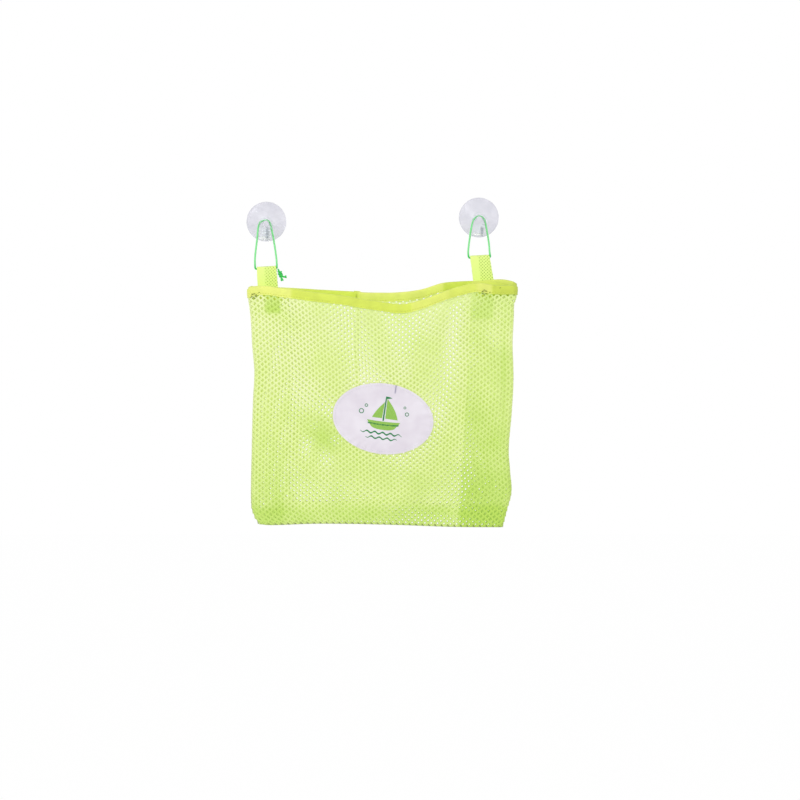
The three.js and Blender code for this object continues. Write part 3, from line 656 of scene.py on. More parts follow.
def sewnLine(name, line, out=Vector((0, -1, 0)), closed=False):
    # stitches end to end along a line of points; out is the way the cloth faces
    pitch = thread["length"] + thread["gap"]
    spots, travelled, due = [], 0.0, pitch / 2
    spans = list(zip(line, line[1:] + ([line[0]] if closed else line[-1:])))
    for a, b in spans:
        run = (b - a).length
        while run and due <= travelled + run:
            spots.append((a.lerp(b, (due - travelled) / run), (b - a).normalized()))
            due += pitch
        travelled += run
    points, faces = [], []
    for spot, run in spots:
        face = (out - run * run.dot(out)).normalized()
        up = run.cross(face)
        base = len(points)
        points += [spot + run * p.x - face * p.y + up * p.z for p in stitchPoints]
        faces += [tuple(base + i for i in f) for f in stitchFaces]
    return smoothed(edited(pieceFrom(name, points, faces), facesOut))


rimSeam = dict(steps=150, above=2, proud=0.12)


def rimLine(point, rimTop, inset):
    line = []
    for i in range(rimSeam["steps"] + 1):
        u = mixed(inset, 1 - inset, i / rimSeam["steps"])
        p = point(u, 1)
        z = rimTop(u) - tape["height"] + rimSeam["above"]
        line.append(Vector((p.x, p.y - tape["half"] - tape["thickness"] / 2 - rimSeam["proud"], z)))
    return line


frontStitches = sewnLine("rim-stitches-front", rimLine(frontPoint, frontRimTop, 0.012))
backStitches = sewnLine("rim-stitches-back", rimLine(backPoint, backRimTop, 0.06))


tack = dict(proud=0.55, netDepth=1.4, dotReach=(1.6, 1.2))


def onTape(x, z):
    # a stitch's place on the front tape, or further in on the net where it passes below the tape
    u = (x - bag["left"]) / bagWidth
    foot = frontRimTop(u) - tape["height"]
    face = frontPlane(u, 1) - tape["half"] - tape["thickness"] / 2
    return Vector((x, face - tack["proud"] + tack["netDepth"] * eased((foot - z) / 2), z))


def cornerTack(name, rings, dots):
    # the tab's tacking comes through to the front as a knotted ring and a few stray stitches
    turns = [k * math.pi / 6 for k in range(12)]
    lines = [[onTape(x + size * math.cos(a), z + size * math.sin(a)) for a in turns] for x, z, size in rings]
    dx, dz = tack["dotReach"]
    lines += [[onTape(x - dx, z - dz), onTape(x + dx, z + dz)] for x, z in dots]
    sewn = [sewnLine(f"{name}-{i}", line, closed=i < len(rings)) for i, line in enumerate(lines)]
    return joinedPieces(name, sewn)


leftTack = cornerTack("corner-tack-left", [(-141, -90.6, 2.2), (-141, -90.6, 3.2)], [(-134.6, -86.2)])
rightTack = cornerTack("corner-tack-right", [(133.4, -86.2, 2), (133.4, -86.2, 2.9)],
                       [(140.2, -86), (152.6, -80.6)])
print("rim sewn")


# The two webbing tabs, folded over the elastic and sewn in behind the back net.
webbing = dict(width=24.6, foldShare=0.94, thickness=1.1, foldRadius=2.2, plane=-12.5, slope=0.0524,
               tailBend=4, crown=0.35, crownedBelow=6, wideBelow=30, edgeWaves=0.25, seat=1.45,
               tackWidth=17, tackHeight=13)
tabs = {
    "left": dict(x=-127.4, z=-58.7, lean=0.06, frontTail=37, backTail=56, tack=28),
    "right": dict(x=129.1, z=-45.3, lean=0.154, frontTail=41, backTail=75, tack=40),
}


def onTab(tab, across, y, down):
    return Vector((tab["x"] + across - tab["lean"] * down, y, tab["z"] + down + webbing["slope"] * across))


def tabPiece(side):
    tab = tabs[side]
    plane, bend = webbing["plane"], webbing["foldRadius"]
    tailV = (tab["z"] - tab["backTail"] - bag["bottom"]) / (bag["backLevel"] - bag["bottom"])
    tailPlane = min(backPlane(tailV) + webbing["seat"], plane + bend)
    bendStart = -tab["frontTail"] - webbing["tailBend"]
    turns = [math.pi * (1 - k / 10) for k in range(11)]
    section = [(plane - bend, -tab["frontTail"] * k / 14) for k in range(14, 0, -1)]
    section += [(plane + bend * math.cos(a), bend * math.sin(a)) for a in turns]
    section += [(plane + bend, bendStart * k / 14) for k in range(1, 15)]
    section += [(mixed(plane + bend, tailPlane, eased(k / 8)), mixed(bendStart, -tab["backTail"], k / 8))
                for k in range(1, 9)]
    bands = []
    for y, down in section:
        row = []
        for k in range(13):
            share = k / 6 - 1
            facing = 1 if y > plane else -1
            crown = facing * webbing["crown"] * (1 - share * share) * clamped(-down / webbing["crownedBelow"])
            edge = webbing["edgeWaves"] * wander(down, y * 6, 5, 3.3 + share)
            spread = clamped(-down / webbing["wideBelow"])
            half = webbing["width"] / 2 * mixed(webbing["foldShare"], 1, spread)
            row.append(onTab(tab, share * half + edge * abs(share), y + crown, down))
        bands.append(row)
    return smoothed(thickened(gridPiece("webbing-tab-" + side, bands), webbing["thickness"]), 50)


def tabStitches(side):
    tab = tabs[side]
    y = webbing["plane"] + webbing["foldRadius"] + webbing["thickness"] / 2 + webbing["crown"] + 0.1
    half, rise = webbing["tackWidth"] / 2, webbing["tackHeight"] / 2
    spots = [(-half, -rise), (half, -rise), (half, rise), (-half, rise)]
    line = [onTab(tab, across, y, -tab["tack"] + up) for across, up in spots]
    return sewnLine("tab-stitches-" + side, line, out=Vector((0, 1, 0)), closed=True)


leftTab, rightTab = tabPiece("left"), tabPiece("right")
leftTabStitches, rightTabStitches = tabStitches("left"), tabStitches("right")
print("tabs folded and tacked")


# The elastic: one ring of round cord a side, over the cup's neck and through the tab's fold.
# The bends are how far the cord swings out round the left and the right corner of a tab's fold.
elastic = dict(radius=1.12, plane=-12.5, sides=14, step=0.9, leftBend=2.2, rightBend=0.8)
necks = {"left": (-128, -4.5), "right": (128, 0.5)}
ringRoutes = {
    "left": [(-10.3, -14.4), (-9.4, -5.4), (-8, -0.6), (-5.4, 2.3), (-1, 3.6), (2.6, 2.9), (5.2, -0.8),
             (6.8, -7.8), (8.6, -16.2), (9.8, -23.6), (11.4, -34), (12.6, -44), "fold", (-13.4, -44),
             (-12.6, -34), (-11.3, -23.6)],
    "right": [(-10.3, -16), (-9, -9), (-7.6, -3.4), (-5, 1.2), (-0.6, 3.6), (3.4, 2.6), (6.2, -0.4),
              (7.7, -5.4), (9.4, -13.8), (11.1, -23.6), (12.2, -32), (12.7, -39), "fold", (-13, -39),
              (-12.4, -32), (-11.3, -23.6)],
}


def foldCorner(side, hand):
    tab, bend = tabs[side], elastic["leftBend" if hand < 0 else "rightBend"]
    reach = hand * webbing["foldShare"] * webbing["width"] / 2
    edge, level = tab["x"] + reach, tab["z"] + webbing["slope"] * reach
    rise = bend * (1 - math.sqrt(0.5))
    return [(edge, level), (edge + hand * (bend - rise), level + rise), (edge + hand * bend, level + bend)]


def ringLine(side):
    neckX, neckZ = necks[side]
    flat = []
    for spot in ringRoutes[side]:
        if spot == "fold":
            flat += foldCorner(side, 1)[::-1] + [(tabs[side]["x"], tabs[side]["z"])] + foldCorner(side, -1)
        else:
            flat.append((neckX + spot[0], neckZ + spot[1]))
    return smoothPath([(x, elastic["plane"], z) for x, z in flat], elastic["step"], closed=True)


def addTone(piece, toneAt):
    # a share from 0 to 1 at each point, which the materials read as their tone
    layer = piece.data.attributes.new("tone", "FLOAT", "POINT")
    layer.data.foreach_set("value", [toneAt(v.co / mm) for v in piece.data.vertices])


def elasticRing(side):
    piece = tubePiece("elastic-" + side, ringLine(side), elastic["radius"], elastic["sides"], closed=True)
    tab, (neckX, neckZ) = tabs[side], necks[side]

    def toneAt(p):
        # painted shade: deeper at the two corners of the tab's fold and over the neck, where the cord passes
        # into shade
        atFold = hump(math.hypot(abs(p.x - tab["x"]) - 13.5, p.z - tab["z"]), 0, 4.5)
        atNeck = 0.6 * hump(math.hypot(p.x - neckX, p.z - neckZ - 3), 0, 7)
        return clamped(0.12 + max(atFold, atNeck))

    addTone(piece, toneAt)
    return piece


leftRing, rightRing = elasticRing("left"), elasticRing("right")


# The knots that close the rings: the cord wrapped round itself, with its cut ends left out.
knot = dict(wrapRadius=1.75, cordRadius=1.1, frayRadius=1.75, step=0.8, wrapSteps=14, slack=0.35)


def wrapped(start, end, turns):
    # a coil round the line from start to end, a little uneven as a pulled knot is
    run = (end - start).normalized()
    near = Vector((0, -1, 0))
    other = run.cross(near)
    line = []
    steps = round(turns * knot["wrapSteps"])
    for i in range(steps + 1):
        share = i / steps
        a = 2 * math.pi * turns * share
        size = knot["wrapRadius"] * (0.7 + 0.45 * math.sin(math.pi * share))
        slip = run * knot["slack"] * math.sin(2.3 * a)
        line.append(start.lerp(end, share) + size * (near * math.cos(a) + other * math.sin(a)) + slip)
    return line


def frayed(share):
    return 1 + (knot["frayRadius"] - 1) * eased((share - 0.7) / 0.3)


def knotPiece(name, start, end, turns, strands):
    # places are given from the cord's own plane; each strand ends frayed
    plane = Vector((0, cordY, 0))
    coil = wrapped(Vector(start) + plane, Vector(end) + plane, turns)
    parts = [tubePiece(name + "-wraps", coil, knot["cordRadius"], 10)]
    for i, points in enumerate(strands):
        line = smoothPath([Vector(p) + plane for p in points], knot["step"])
        parts.append(tubePiece(f"{name}-strand{i}", line, knot["cordRadius"], 10, squeeze=frayed))
    piece = joinedPieces(name, parts)
    # painted shade: the whole knot takes the deepest tone
    addTone(piece, lambda p: 1.0)
    return piece


cordY = elastic["plane"]
leftRoute = [(-113.6, 0.2, -59.2), (-113.2, 0.3, -60.4), (-112.2, 0, -62.6), (-111.2, 0, -65.5),
             (-110.0, -0.3, -69), (-109.2, -0.6, -71.2), (-108.6, -0.9, -73.4)]
leftFray = [(-111.2, -0.6, -64.8), (-109.6, -0.9, -67.0), (-107.8, -0.4, -68.3), (-105.8, 0, -68.7),
            (-103.6, 0.3, -68.4)]
rightTail = [(139.4, 0, -48.9), (139.9, 0, -65.3), (141.1, 0, -79.3), (141.6, -0.6, -88.3),
             (142.1, -0.9, -92.3), (143.5, -0.5, -95.7)]
leftKnot = knotPiece("elastic-knot-left", (-112.2, 0, -61.4), (-109.8, 0, -68.6), 2.6, [leftRoute, leftFray])
rightKnot = knotPiece("elastic-knot-right", (141.2, -0.9, -89.6), (142.4, -0.9, -96.0), 2.4, [rightTail])
print("elastic strung and knotted")


# The suction cups, turned about their necks, with the neck drooping under the load.
cup = dict(radius=24, lip=2, lipThickness=0.9, cavity=4, dome=11.2, neck=2.5, shoulder=3.6, neckEnd=16.5,
           head=3.6, headHeight=3.6, droop=2, steps=72)


def cupProfile():
    r, d, cavity, lip = (cup[size] for size in ("radius", "dome", "cavity", "lipThickness"))
    inner, neck, head = r - cup["lip"], cup["neck"], cup["head"]
    end, top = cup["neckEnd"], cup["neckEnd"] + cup["headHeight"]
    hollow = ((0, 1), (0.2, 0.985), (0.45, 0.86), (0.65, 0.65), (0.8, 0.42), (0.93, 0.14), (1, 0))
    dome = ((0.94, 0.13), (0.84, 0.26), (0.74, 0.395), (0.64, 0.52), (0.55, 0.645), (0.46, 0.75),
            (0.37, 0.845))
    profile = [(x * inner, -y * cavity) for x, y in hollow]
    profile += [(r - 0.4, 0), (r, -0.2), (r, -lip + 0.2), (r - 0.35, -lip - 0.05)]
    profile += [(x * r, -y * d) for x, y in dome]
    profile += [(neck + cup["shoulder"], -0.92 * d), (neck + 1.5, -0.965 * d), (neck + 0.35, -d),
                (neck, -d - 0.5)]
    profile += [(neck, -end + 0.35), (neck + 0.35, -end), (head - 0.5, -end - 0.25), (head, -end - 0.9)]
    profile += [(head, -top + 1), (head - 0.3, -top + 0.4), (head - 0.9, -top + 0.08), (2, -top), (0, -top)]
    return profile


def cupPiece(side):
    neckX, neckZ = necks[side]
    profile = [Vector((neckX + x, y, neckZ)) for x, y in cupProfile()]
    piece = pieceFrom("suction-cup-" + side, profile, [])
    piece.data.edges.add(len(profile) - 1)
    for i, edge in enumerate(piece.data.edges):
        edge.vertices = (i, i + 1)
    axis = dict(center=(neckX * mm, 0, neckZ * mm), axis=(0, 1, 0))
    edited(piece, (bpy.ops.mesh.spin, dict(steps=cup["steps"], angle=2 * math.pi, **axis)))
    edited(piece, (bpy.ops.mesh.remove_doubles, dict(threshold=0.02 * mm)), facesOut)
    for v in piece.data.vertices:
        v.co.z += cup["droop"] * (1 - eased(-v.co.y / mm / cup["dome"])) * mm
    return smoothed(piece, 45)


leftCup, rightCup = cupPiece("left"), cupPiece("right")


# The hooks: copies of the frame's own, with their edges rounded as moulded.
def hookPiece(side):
    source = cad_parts[side + "_hook"]
    piece = placed("hook-" + side, source.data.copy())
    piece.data.materials.clear()
    edited(piece, (bpy.ops.mesh.remove_doubles, dict(threshold=0.01 * mm)),
           (bpy.ops.mesh.dissolve_limited, dict(angle_limit=math.radians(2))), facesOut)
    rounding = piece.modifiers.new("rounding", "BEVEL")
    rounding.width = 0.45 * mm
    rounding.segments = 3
    rounding.limit_method = "ANGLE"
    rounding.angle_limit = math.radians(40)
    finishModifiers(piece)
    return smoothed(piece, 40)


leftHook, rightHook = hookPiece("left"), hookPiece("right")
print("cups and hooks moulded")


# The oval label, sewn to the front net, and its printed picture of a boat.
label = dict(x=12.8, z=-237.4, width=121, height=85, tilt=-8, lift=1.25, thickness=0.6, spokes=400, rings=24,
             puckers=0.35, puckerCount=24, puckerStart=0.7, puckerReach=0.3, hem=0.18, hemPlace=0.965,
             hemWide=0.02, hemInset=3, waves=0.25, waveSize=19, creaseAcross=9, creaseTop=40,
             creaseLength=9, creaseWide=1.2, creaseDeep=1.5)


def onFront(x, z, lift):
    v = (z - bag["bottom"]) / (bag["mouthLevel"] - bag["bottom"])
    u = acrossAt(x, v)
    v = (z - footLevel(u)) / (frontRimTop(u) - bag["rimGap"] - footLevel(u))
    return Vector((x, frontPlane(u, v) - frontRelief(u, v) - lift, z))


def onLabel(across, up, lift=0.0):
    t = math.radians(label["tilt"])
    x = label["x"] + across * math.cos(t) - up * math.sin(t)
    z = label["z"] + across * math.sin(t) + up * math.cos(t)
    reach = math.hypot(across / (label["width"] / 2), up / (label["height"] / 2))
    turn = math.atan2(up, across)
    rise = label["puckers"] * eased((reach - label["puckerStart"]) / label["puckerReach"])
    rise *= math.sin(label["puckerCount"] * turn + 3 * math.sin(3 * turn))
    rise += label["hem"] * hump(reach, label["hemPlace"], label["hemWide"])
    rise += label["waves"] * wander(x, z, label["waveSize"], 7.7)
    crease = label["creaseDeep"] * hump(across, label["creaseAcross"], label["creaseWide"])
    crease *= eased((up - label["creaseTop"] + label["creaseLength"]) / label["creaseLength"])
    return onFront(x, z, label["lift"] + lift + rise + crease)


def around(count, across, up):
    # points round an oval, given by its half width and half height
    return [(across * math.cos(a), up * math.sin(a)) for a in (2 * math.pi * i / count for i in range(count))]


def labelPiece():
    n, rings = label["spokes"], label["rings"]
    points = [onLabel(0, 0)]
    for ring in range(1, rings + 1):
        share = (ring / rings) ** 0.8
        oval = around(n, share * label["width"] / 2, share * label["height"] / 2)
        points += [onLabel(*place) for place in oval]
    faces = []
    for i in range(n):
        j = (i + 1) % n
        faces.append((0, 1 + i, 1 + j))
        for low in range(1, 1 + (rings - 1) * n, n):
            faces.append((low + i, low + n + i, low + n + j, low + j))
    uvs = [((p.x - label["x"]) / 100, (p.z - label["z"]) / 100) for p in points]
    return smoothed(thickened(pieceFrom("label", points, faces, uvs), label["thickness"]), 60)


def creaseTone(p):
    # the crease's far side lies in its own shadow
    t = math.radians(label["tilt"])
    dx, dz = p.x - label["x"], p.z - label["z"]
    across, up = dx * math.cos(t) + dz * math.sin(t), dz * math.cos(t) - dx * math.sin(t)
    low = label["creaseTop"] - label["creaseLength"]
    return hump(across, label["creaseAcross"] + 1, 0.7) * eased((up - low) / 2.5)


labelPatch = labelPiece()
hem = label["hemInset"]
hemLine = [onLabel(*place, label["thickness"] / 2 + 0.15)
           for place in around(160, label["width"] / 2 - hem, label["height"] / 2 - hem)]
labelStitches = sewnLine("label-stitches", hemLine, closed=True)

printing = dict(lift=0.36, thickness=0.12)


def printed(name, strips):
    # each strip is two lines of the same number of label places, filled between in a few rows
    parts = []
    for i, (low, high) in enumerate(strips):
        depth = max(2, round(max(math.dist(a, b) for a, b in zip(low, high)) / 3))
        bands = [[onLabel(mixed(a[0], b[0], k / depth), mixed(a[1], b[1], k / depth), printing["lift"])
                  for a, b in zip(low, high)] for k in range(depth + 1)]
        parts.append(gridPiece(f"{name}-{i}", bands))
    return thickened(joinedPieces(name, parts), printing["thickness"])


def spanLine(start, end, count, sag=0.0):
    shares = [i / count for i in range(count + 1)]
    return [(mixed(start[0], end[0], t), mixed(start[1], end[1], t) + sag * math.sin(math.pi * t))
            for t in shares]


def waveLine(startX, endX, level, height, length, phase, thick):
    places = [startX + (endX - startX) * i / 60 for i in range(61)]
    taper = [thick / 2 * min(1, 4 * min(i, 60 - i) / 60 + 0.25) for i in range(61)]
    crest = [level + height * math.sin(2 * math.pi * x / length + phase) for x in places]
    return tuple([(x, z + side * t) for x, z, t in zip(places, crest, taper)] for side in (-1, 1))


def bubble(x, z, radius, thick):
    turns = [2 * math.pi * i / 28 for i in range(29)]
    return tuple([(x + r * math.cos(a), z + r * math.sin(a)) for a in turns]
                 for r in (radius - thick, radius))


def sail(foot, head, tip, belly, count=18):
    luff = spanLine(foot, head, count)
    leech = spanLine(tip, head, count)
    return luff, [(x + belly * math.sin(math.pi * i / count), z) for i, (x, z) in enumerate(leech)]


hullTop = [(x, z - 0.6 * math.cos((x - 1) / 20 * math.pi / 2))
           for x, z in spanLine((-19, -3.2), (21, -2.4), 24)]
hullFoot = [(mixed(-13, 15, i / 24), -13.4 + 2.6 * abs(2 * i / 24 - 1) ** 3) for i in range(25)]
lightPrint = printed("label-print-light", [
    (hullFoot, hullTop),
    sail((2.4, 0.4), (2.0, 24.5), (17.5, 0.4), 2.2),
    sail((-1.4, 0.4), (-0.6, 20), (-13.5, 0.4), -1.2),
])
darkPrint = printed("label-print-dark", [
    (spanLine((-0.6, -2.5), (-0.1, 27), 12), spanLine((1.3, -2.5), (1.3, 27), 12)),
    (spanLine((-17.2, -7.6), (19, -6.9), 20, -0.8), spanLine((-18, -6.1), (19.8, -5.4), 20, -0.8)),
    waveLine(-25, 25, -17.6, 1.2, 9.5, 0.4, 1.9),
    waveLine(-18, 20, -23.6, 1.1, 9.5, 2.6, 1.7),
    ([(1.3, 24.2), (4.2, 24.8), (7.4, 25.6)], [(1.3, 27.0), (4.2, 26.8), (7.4, 25.9)]),
    bubble(-27, 6, 3.0, 0.9),
    bubble(-22, 13.5, 2.0, 0.8),
    bubble(27.5, 9, 2.4, 0.8),
    bubble(24, 16.5, 1.6, 0.7),
])
print("label sewn and printed")


# Materials, and the short functions that make and join their nodes.
def shade(code):
    # an sRGB hex colour as linear red, green, blue
    parts = [int(code[i:i + 2], 16) / 255 for i in (1, 3, 5)]
    return tuple(((c + 0.055) / 1.055) ** 2.4 if c > 0.04045 else c / 12.92 for c in parts) + (1.0,)


def addNode(material, kind, settings=None, inputs=None):
    # a node with its settings, and each input a value or another node's output
    node = material.node_tree.nodes.new(kind)
    for name, value in (settings or {}).items():
        setattr(node, name, value)
    for name, value in (inputs or {}).items():
        if isinstance(value, bpy.types.NodeSocket):
            material.node_tree.links.new(value, node.inputs[name])
        else:
            node.inputs[name].default_value = value
    return node


def newMaterial(name, **sockets):
    material = bpy.data.materials.new(name)
    material.use_nodes = True
    shader = material.node_tree.nodes["Principled BSDF"]
    for socket, value in sockets.items():
        shader.inputs[socket.replace("_", " ")].default_value = value
    return material, shader


def computed(material, operation, *values):
    return addNode(material, "ShaderNodeMath", {"operation": operation}, dict(enumerate(values))).outputs[0]


def ramp(material, factor, stops):
    node = addNode(material, "ShaderNodeValToRGB", None, {"Fac": factor})
    ends = node.color_ramp.elements
    while len(ends) < len(stops):
        ends.new(0.5)
    for end, (place, code) in zip(ends, stops):
        end.position, end.color = place, shade(code)
    return node.outputs["Color"]


def blended(material, factor, first, second, mode="MIX"):
    node = addNode(material, "ShaderNodeMix", {"data_type": "RGBA", "blend_type": mode}, {"Factor": factor})
    for socket, value in ((node.inputs[6], first), (node.inputs[7], second)):
        if isinstance(value, bpy.types.NodeSocket):
            material.node_tree.links.new(value, socket)
        else:
            socket.default_value = value
    return node.outputs[2]


def objectSpace(material):
    return addNode(material, "ShaderNodeTexCoord").outputs["Object"]


def clothSpace(material):
    return addNode(material, "ShaderNodeUVMap", {"uv_map": "surface"}).outputs["UV"]


def toneOf(material):
    return addNode(material, "ShaderNodeAttribute", {"attribute_name": "tone"}).outputs["Fac"]


def parted(material, space):
    return addNode(material, "ShaderNodeSeparateXYZ", None, {"Vector": space}).outputs


def mapped(material, value, low, high, start=0.0, end=1.0):
    # the value's run from low to high, spread from start to end
    inputs = {"Value": value, "From Min": low, "From Max": high, "To Min": start, "To Max": end}
    return addNode(material, "ShaderNodeMapRange", None, inputs).outputs["Result"]


def noisy(material, space, size, detail=2.0):
    # a noise whose grain is size millimetres
    inputs = {"Vector": space, "Scale": 1 / (size * mm), "Detail": detail}
    return addNode(material, "ShaderNodeTexNoise", None, inputs).outputs["Fac"]


clothUnit = 0.1  # the cloth's own map counts in tenths of a metre


def banded(material, space, direction, size, unit=clothUnit):
    # waves size millimetres apart
    inputs = {"Vector": space, "Scale": 2 * math.pi / 20 * unit / (size * mm)}
    return addNode(material, "ShaderNodeTexWave", {"bands_direction": direction}, inputs).outputs["Fac"]


def crossed(material, space, sizes, directions="XY", unit=clothUnit):
    # two sets of waves across each other, which multiply into the dots of a weave
    return computed(material, "MULTIPLY", *(banded(material, space, direction, size, unit)
                                            for direction, size in zip(directions, sizes)))


def turned(material, space, degrees):
    inputs = {"Vector": space, "Rotation": (0, 0, math.radians(degrees))}
    return addNode(material, "ShaderNodeMapping", None, inputs).outputs["Vector"]


def shaded(material, ground, factor, stops):
    # the ground colour, multiplied by a grey that follows the factor
    return blended(material, 1.0, ground, ramp(material, factor, stops), "MULTIPLY")


def surfaced(material, shader, colour, height, strength, depth, invert=False):
    # the colour, and a relief depth millimetres high
    inputs = {"Height": height, "Strength": strength, "Distance": depth * mm}
    bump = addNode(material, "ShaderNodeBump", {"invert": invert}, inputs)
    material.node_tree.links.new(colour, shader.inputs["Base Color"])
    material.node_tree.links.new(bump.outputs["Normal"], shader.inputs["Normal"])
    return material


# warp-knitted polyester net in a neon lime dye: matt fuzzy yarn with a slight sheen and uneven colour; it
# glows faintly, painted light that stands in for the light passing through the thin yarn and lifts the shade
# between its layers
netting, surface = newMaterial("limePolyesterNet", Roughness=0.6, Sheen_Weight=0.25,
                               Emission_Color=shade("#e8f790"), Emission_Strength=0.2)
space = objectSpace(netting)
yarn = noisy(netting, space, 0.7)
# the tone paints light and shade on the net, and a noise adds uneven dye
dyeAndShade = computed(netting, "MULTIPLY_ADD", noisy(netting, space, 26), 0.3, toneOf(netting))
ground = ramp(netting, dyeAndShade, [(0.0, "#e8ecbd"), (0.45, "#d6e894"), (1.0, "#a8d03e")])
ground = shaded(netting, ground, yarn, [(0.3, "#f2f2f2"), (0.7, "#ffffff")])
surfaced(netting, surface, ground, yarn, 0.6, 0.25)

# woven polyester binding tape, the same dye but denser: a fine rib across it and a satin shine; its tone
# paints light and shade, pale where it faces the light, olive in shade and darkest in the shadow at the join,
# and it glows faintly as painted light
bindingTape, surface = newMaterial("yellowBindingTape", Roughness=0.5, Sheen_Weight=0.2,
                                   Emission_Color=shade("#c8ff60"), Emission_Strength=0.05)
weave = crossed(bindingTape, clothSpace(bindingTape), (1.6, 1.3))
rub = noisy(bindingTape, objectSpace(bindingTape), 14, 3.0)
ground = ramp(bindingTape, toneOf(bindingTape), [(0.0, "#faff84"), (0.85, "#e3f256"), (1.0, "#98a32c")])
ground = shaded(bindingTape, ground, rub, [(0.35, "#f3f3f3"), (0.65, "#ffffff")])
ground = shaded(bindingTape, ground, weave, [(0.0, "#f0f0f0"), (0.6, "#ffffff")])
surfaced(bindingTape, surface, ground, weave, 0.5, 0.25)

# woven polypropylene webbing: a diagonal dotted weave, plainer along its left half, glowing faintly as
# painted light that lifts its shade
strap, surface = newMaterial("limeWebbing", Roughness=0.55, Sheen_Weight=0.2,
                             Emission_Color=shade("#c8ff60"), Emission_Strength=0.05)
space = clothSpace(strap)
half = mapped(strap, parted(strap, space)["X"], 0.08, 0.1, 0.15)
dots = crossed(strap, turned(strap, space, 52), (2.7, 2.7))
pits = computed(strap, "MULTIPLY", dots, half)
ground = ramp(strap, pits, [(0.3, "#ecfe92"), (0.75, "#88ae28")])
surfaced(strap, surface, ground, pits, 0.7, 0.35, invert=True)

# braided polyester sheath on round elastic: mint green, with painted shade deeper where the cord is bunched
# in the knots or bent round the fold and the neck, and a faint glow of painted light
braid, surface = newMaterial("mintElasticBraid", Roughness=0.5, Sheen_Weight=0.2,
                             Emission_Color=shade("#60f080"), Emission_Strength=0.12)
plait = crossed(braid, turned(braid, clothSpace(braid), 45), (1.0, 1.0))
ground = ramp(braid, toneOf(braid), [(0.0, "#98f6a4"), (1.0, "#28cc54")])
surfaced(braid, surface, shaded(braid, ground, plait, [(0.0, "#e6e6e6"), (0.7, "#ffffff")]), plait, 0.5, 0.2)


# spun polyester sewing thread: matt, with its ply showing as a fine twist
def threadMaterial(name, pale, deep):
    material, shader = newMaterial(name, Roughness=0.65, Sheen_Weight=0.2)
    ply = banded(material, objectSpace(material), "DIAGONAL", 0.6, 1.0)
    return surfaced(material, shader, ramp(material, ply, [(0.2, deep), (0.8, pale)]), ply, 0.4, 0.1)


rimThread = threadMaterial("yellowThread", "#e9f06a", "#c3cf48")
tackThread = threadMaterial("oliveThread", "#c9d650", "#9fae3a")
darkThread = threadMaterial("mossThread", "#7f8e22", "#4f5f14")
whiteThread = threadMaterial("whiteThread", "#f4f1f6", "#d9d4de")

# woven satin label cloth: cool white with a soft shine and a barely seen weave
satin, surface = newMaterial("whiteSatinLabel", Roughness=0.45, Sheen_Weight=0.15)
space = objectSpace(satin)
cloth = crossed(satin, space, (1.2, 1.2), "XZ", 1.0)
ground = ramp(satin, noisy(satin, space, 22), [(0.35, "#e8e0ea"), (0.65, "#f2ecf4")])
surfaced(satin, surface, blended(satin, toneOf(satin), ground, shade("#8f8aa8")), cloth, 0.25, 0.1)


# screen-printed ink on the satin: flat and matt, with the cloth's weave just showing through
def inkMaterial(name, full, thin):
    material, shader = newMaterial(name, Roughness=0.55)
    grain = noisy(material, objectSpace(material), 1.1, 3.0)
    return surfaced(material, shader, ramp(material, grain, [(0.35, thin), (0.6, full)]), grain, 0.2, 0.1)


lightInk = inkMaterial("leafGreenInk", "#8ec14b", "#9ccb5e")
darkInk = inkMaterial("pineGreenInk", "#0c7a40", "#1f8a50")

# soft clear PVC, injection moulded: glassy, faintly lilac, a little hazy and uneven
clearPvc, surface = newMaterial("clearSoftPvc", Roughness=0.24, IOR=1.44, Transmission_Weight=0.88)
haze = noisy(clearPvc, objectSpace(clearPvc), 11)
surfaced(clearPvc, surface, ramp(clearPvc, haze, [(0.3, "#dfdfe8"), (0.7, "#ecebf3")]), haze, 0.25, 0.8)

# hard clear styrene hook, injection moulded: crisper and cooler than the cup behind it, with a grey strip
# down its tongue, painted shade of the tongue's side wall; the strip's places are given across both hooks
tongueWallShade = dict(lines=(-126.3, 131), wide=1.2, soft=0.7, top=-8, fade=2, span=280)
clearHook, surface = newMaterial("clearStyreneHook", Roughness=0.12, IOR=1.22, Transmission_Weight=0.9)
space = objectSpace(clearHook)
flowLines = noisy(clearHook, space, 5)
across = parted(clearHook, space)
end = tongueWallShade["span"] / 2 * mm
share = mapped(clearHook, across["X"], -end, end)
stops = []
for line in tongueWallShade["lines"]:
    half, outside = tongueWallShade["wide"], tongueWallShade["wide"] + tongueWallShade["soft"]
    for reach, code in ((-outside, "#000000"), (-half, "#ffffff"), (half, "#ffffff"), (outside, "#000000")):
        stops.append(((line + reach) / tongueWallShade["span"] + 0.5, code))
low = mapped(clearHook, across["Z"], (tongueWallShade["top"] - tongueWallShade["fade"]) * mm, tongueWallShade["top"] * mm, 1.0, 0.0)
# the painted shade strip, faded out above the tongue's top
shadeOnTongue = computed(clearHook, "MULTIPLY", ramp(clearHook, share, stops), low)
clear = ramp(clearHook, flowLines, [(0.3, "#f8fcfe"), (0.7, "#ffffff")])
surfaced(clearHook, surface, blended(clearHook, shadeOnTongue, clear, shade("#dde2e4")), flowLines, 0.2, 0.4)


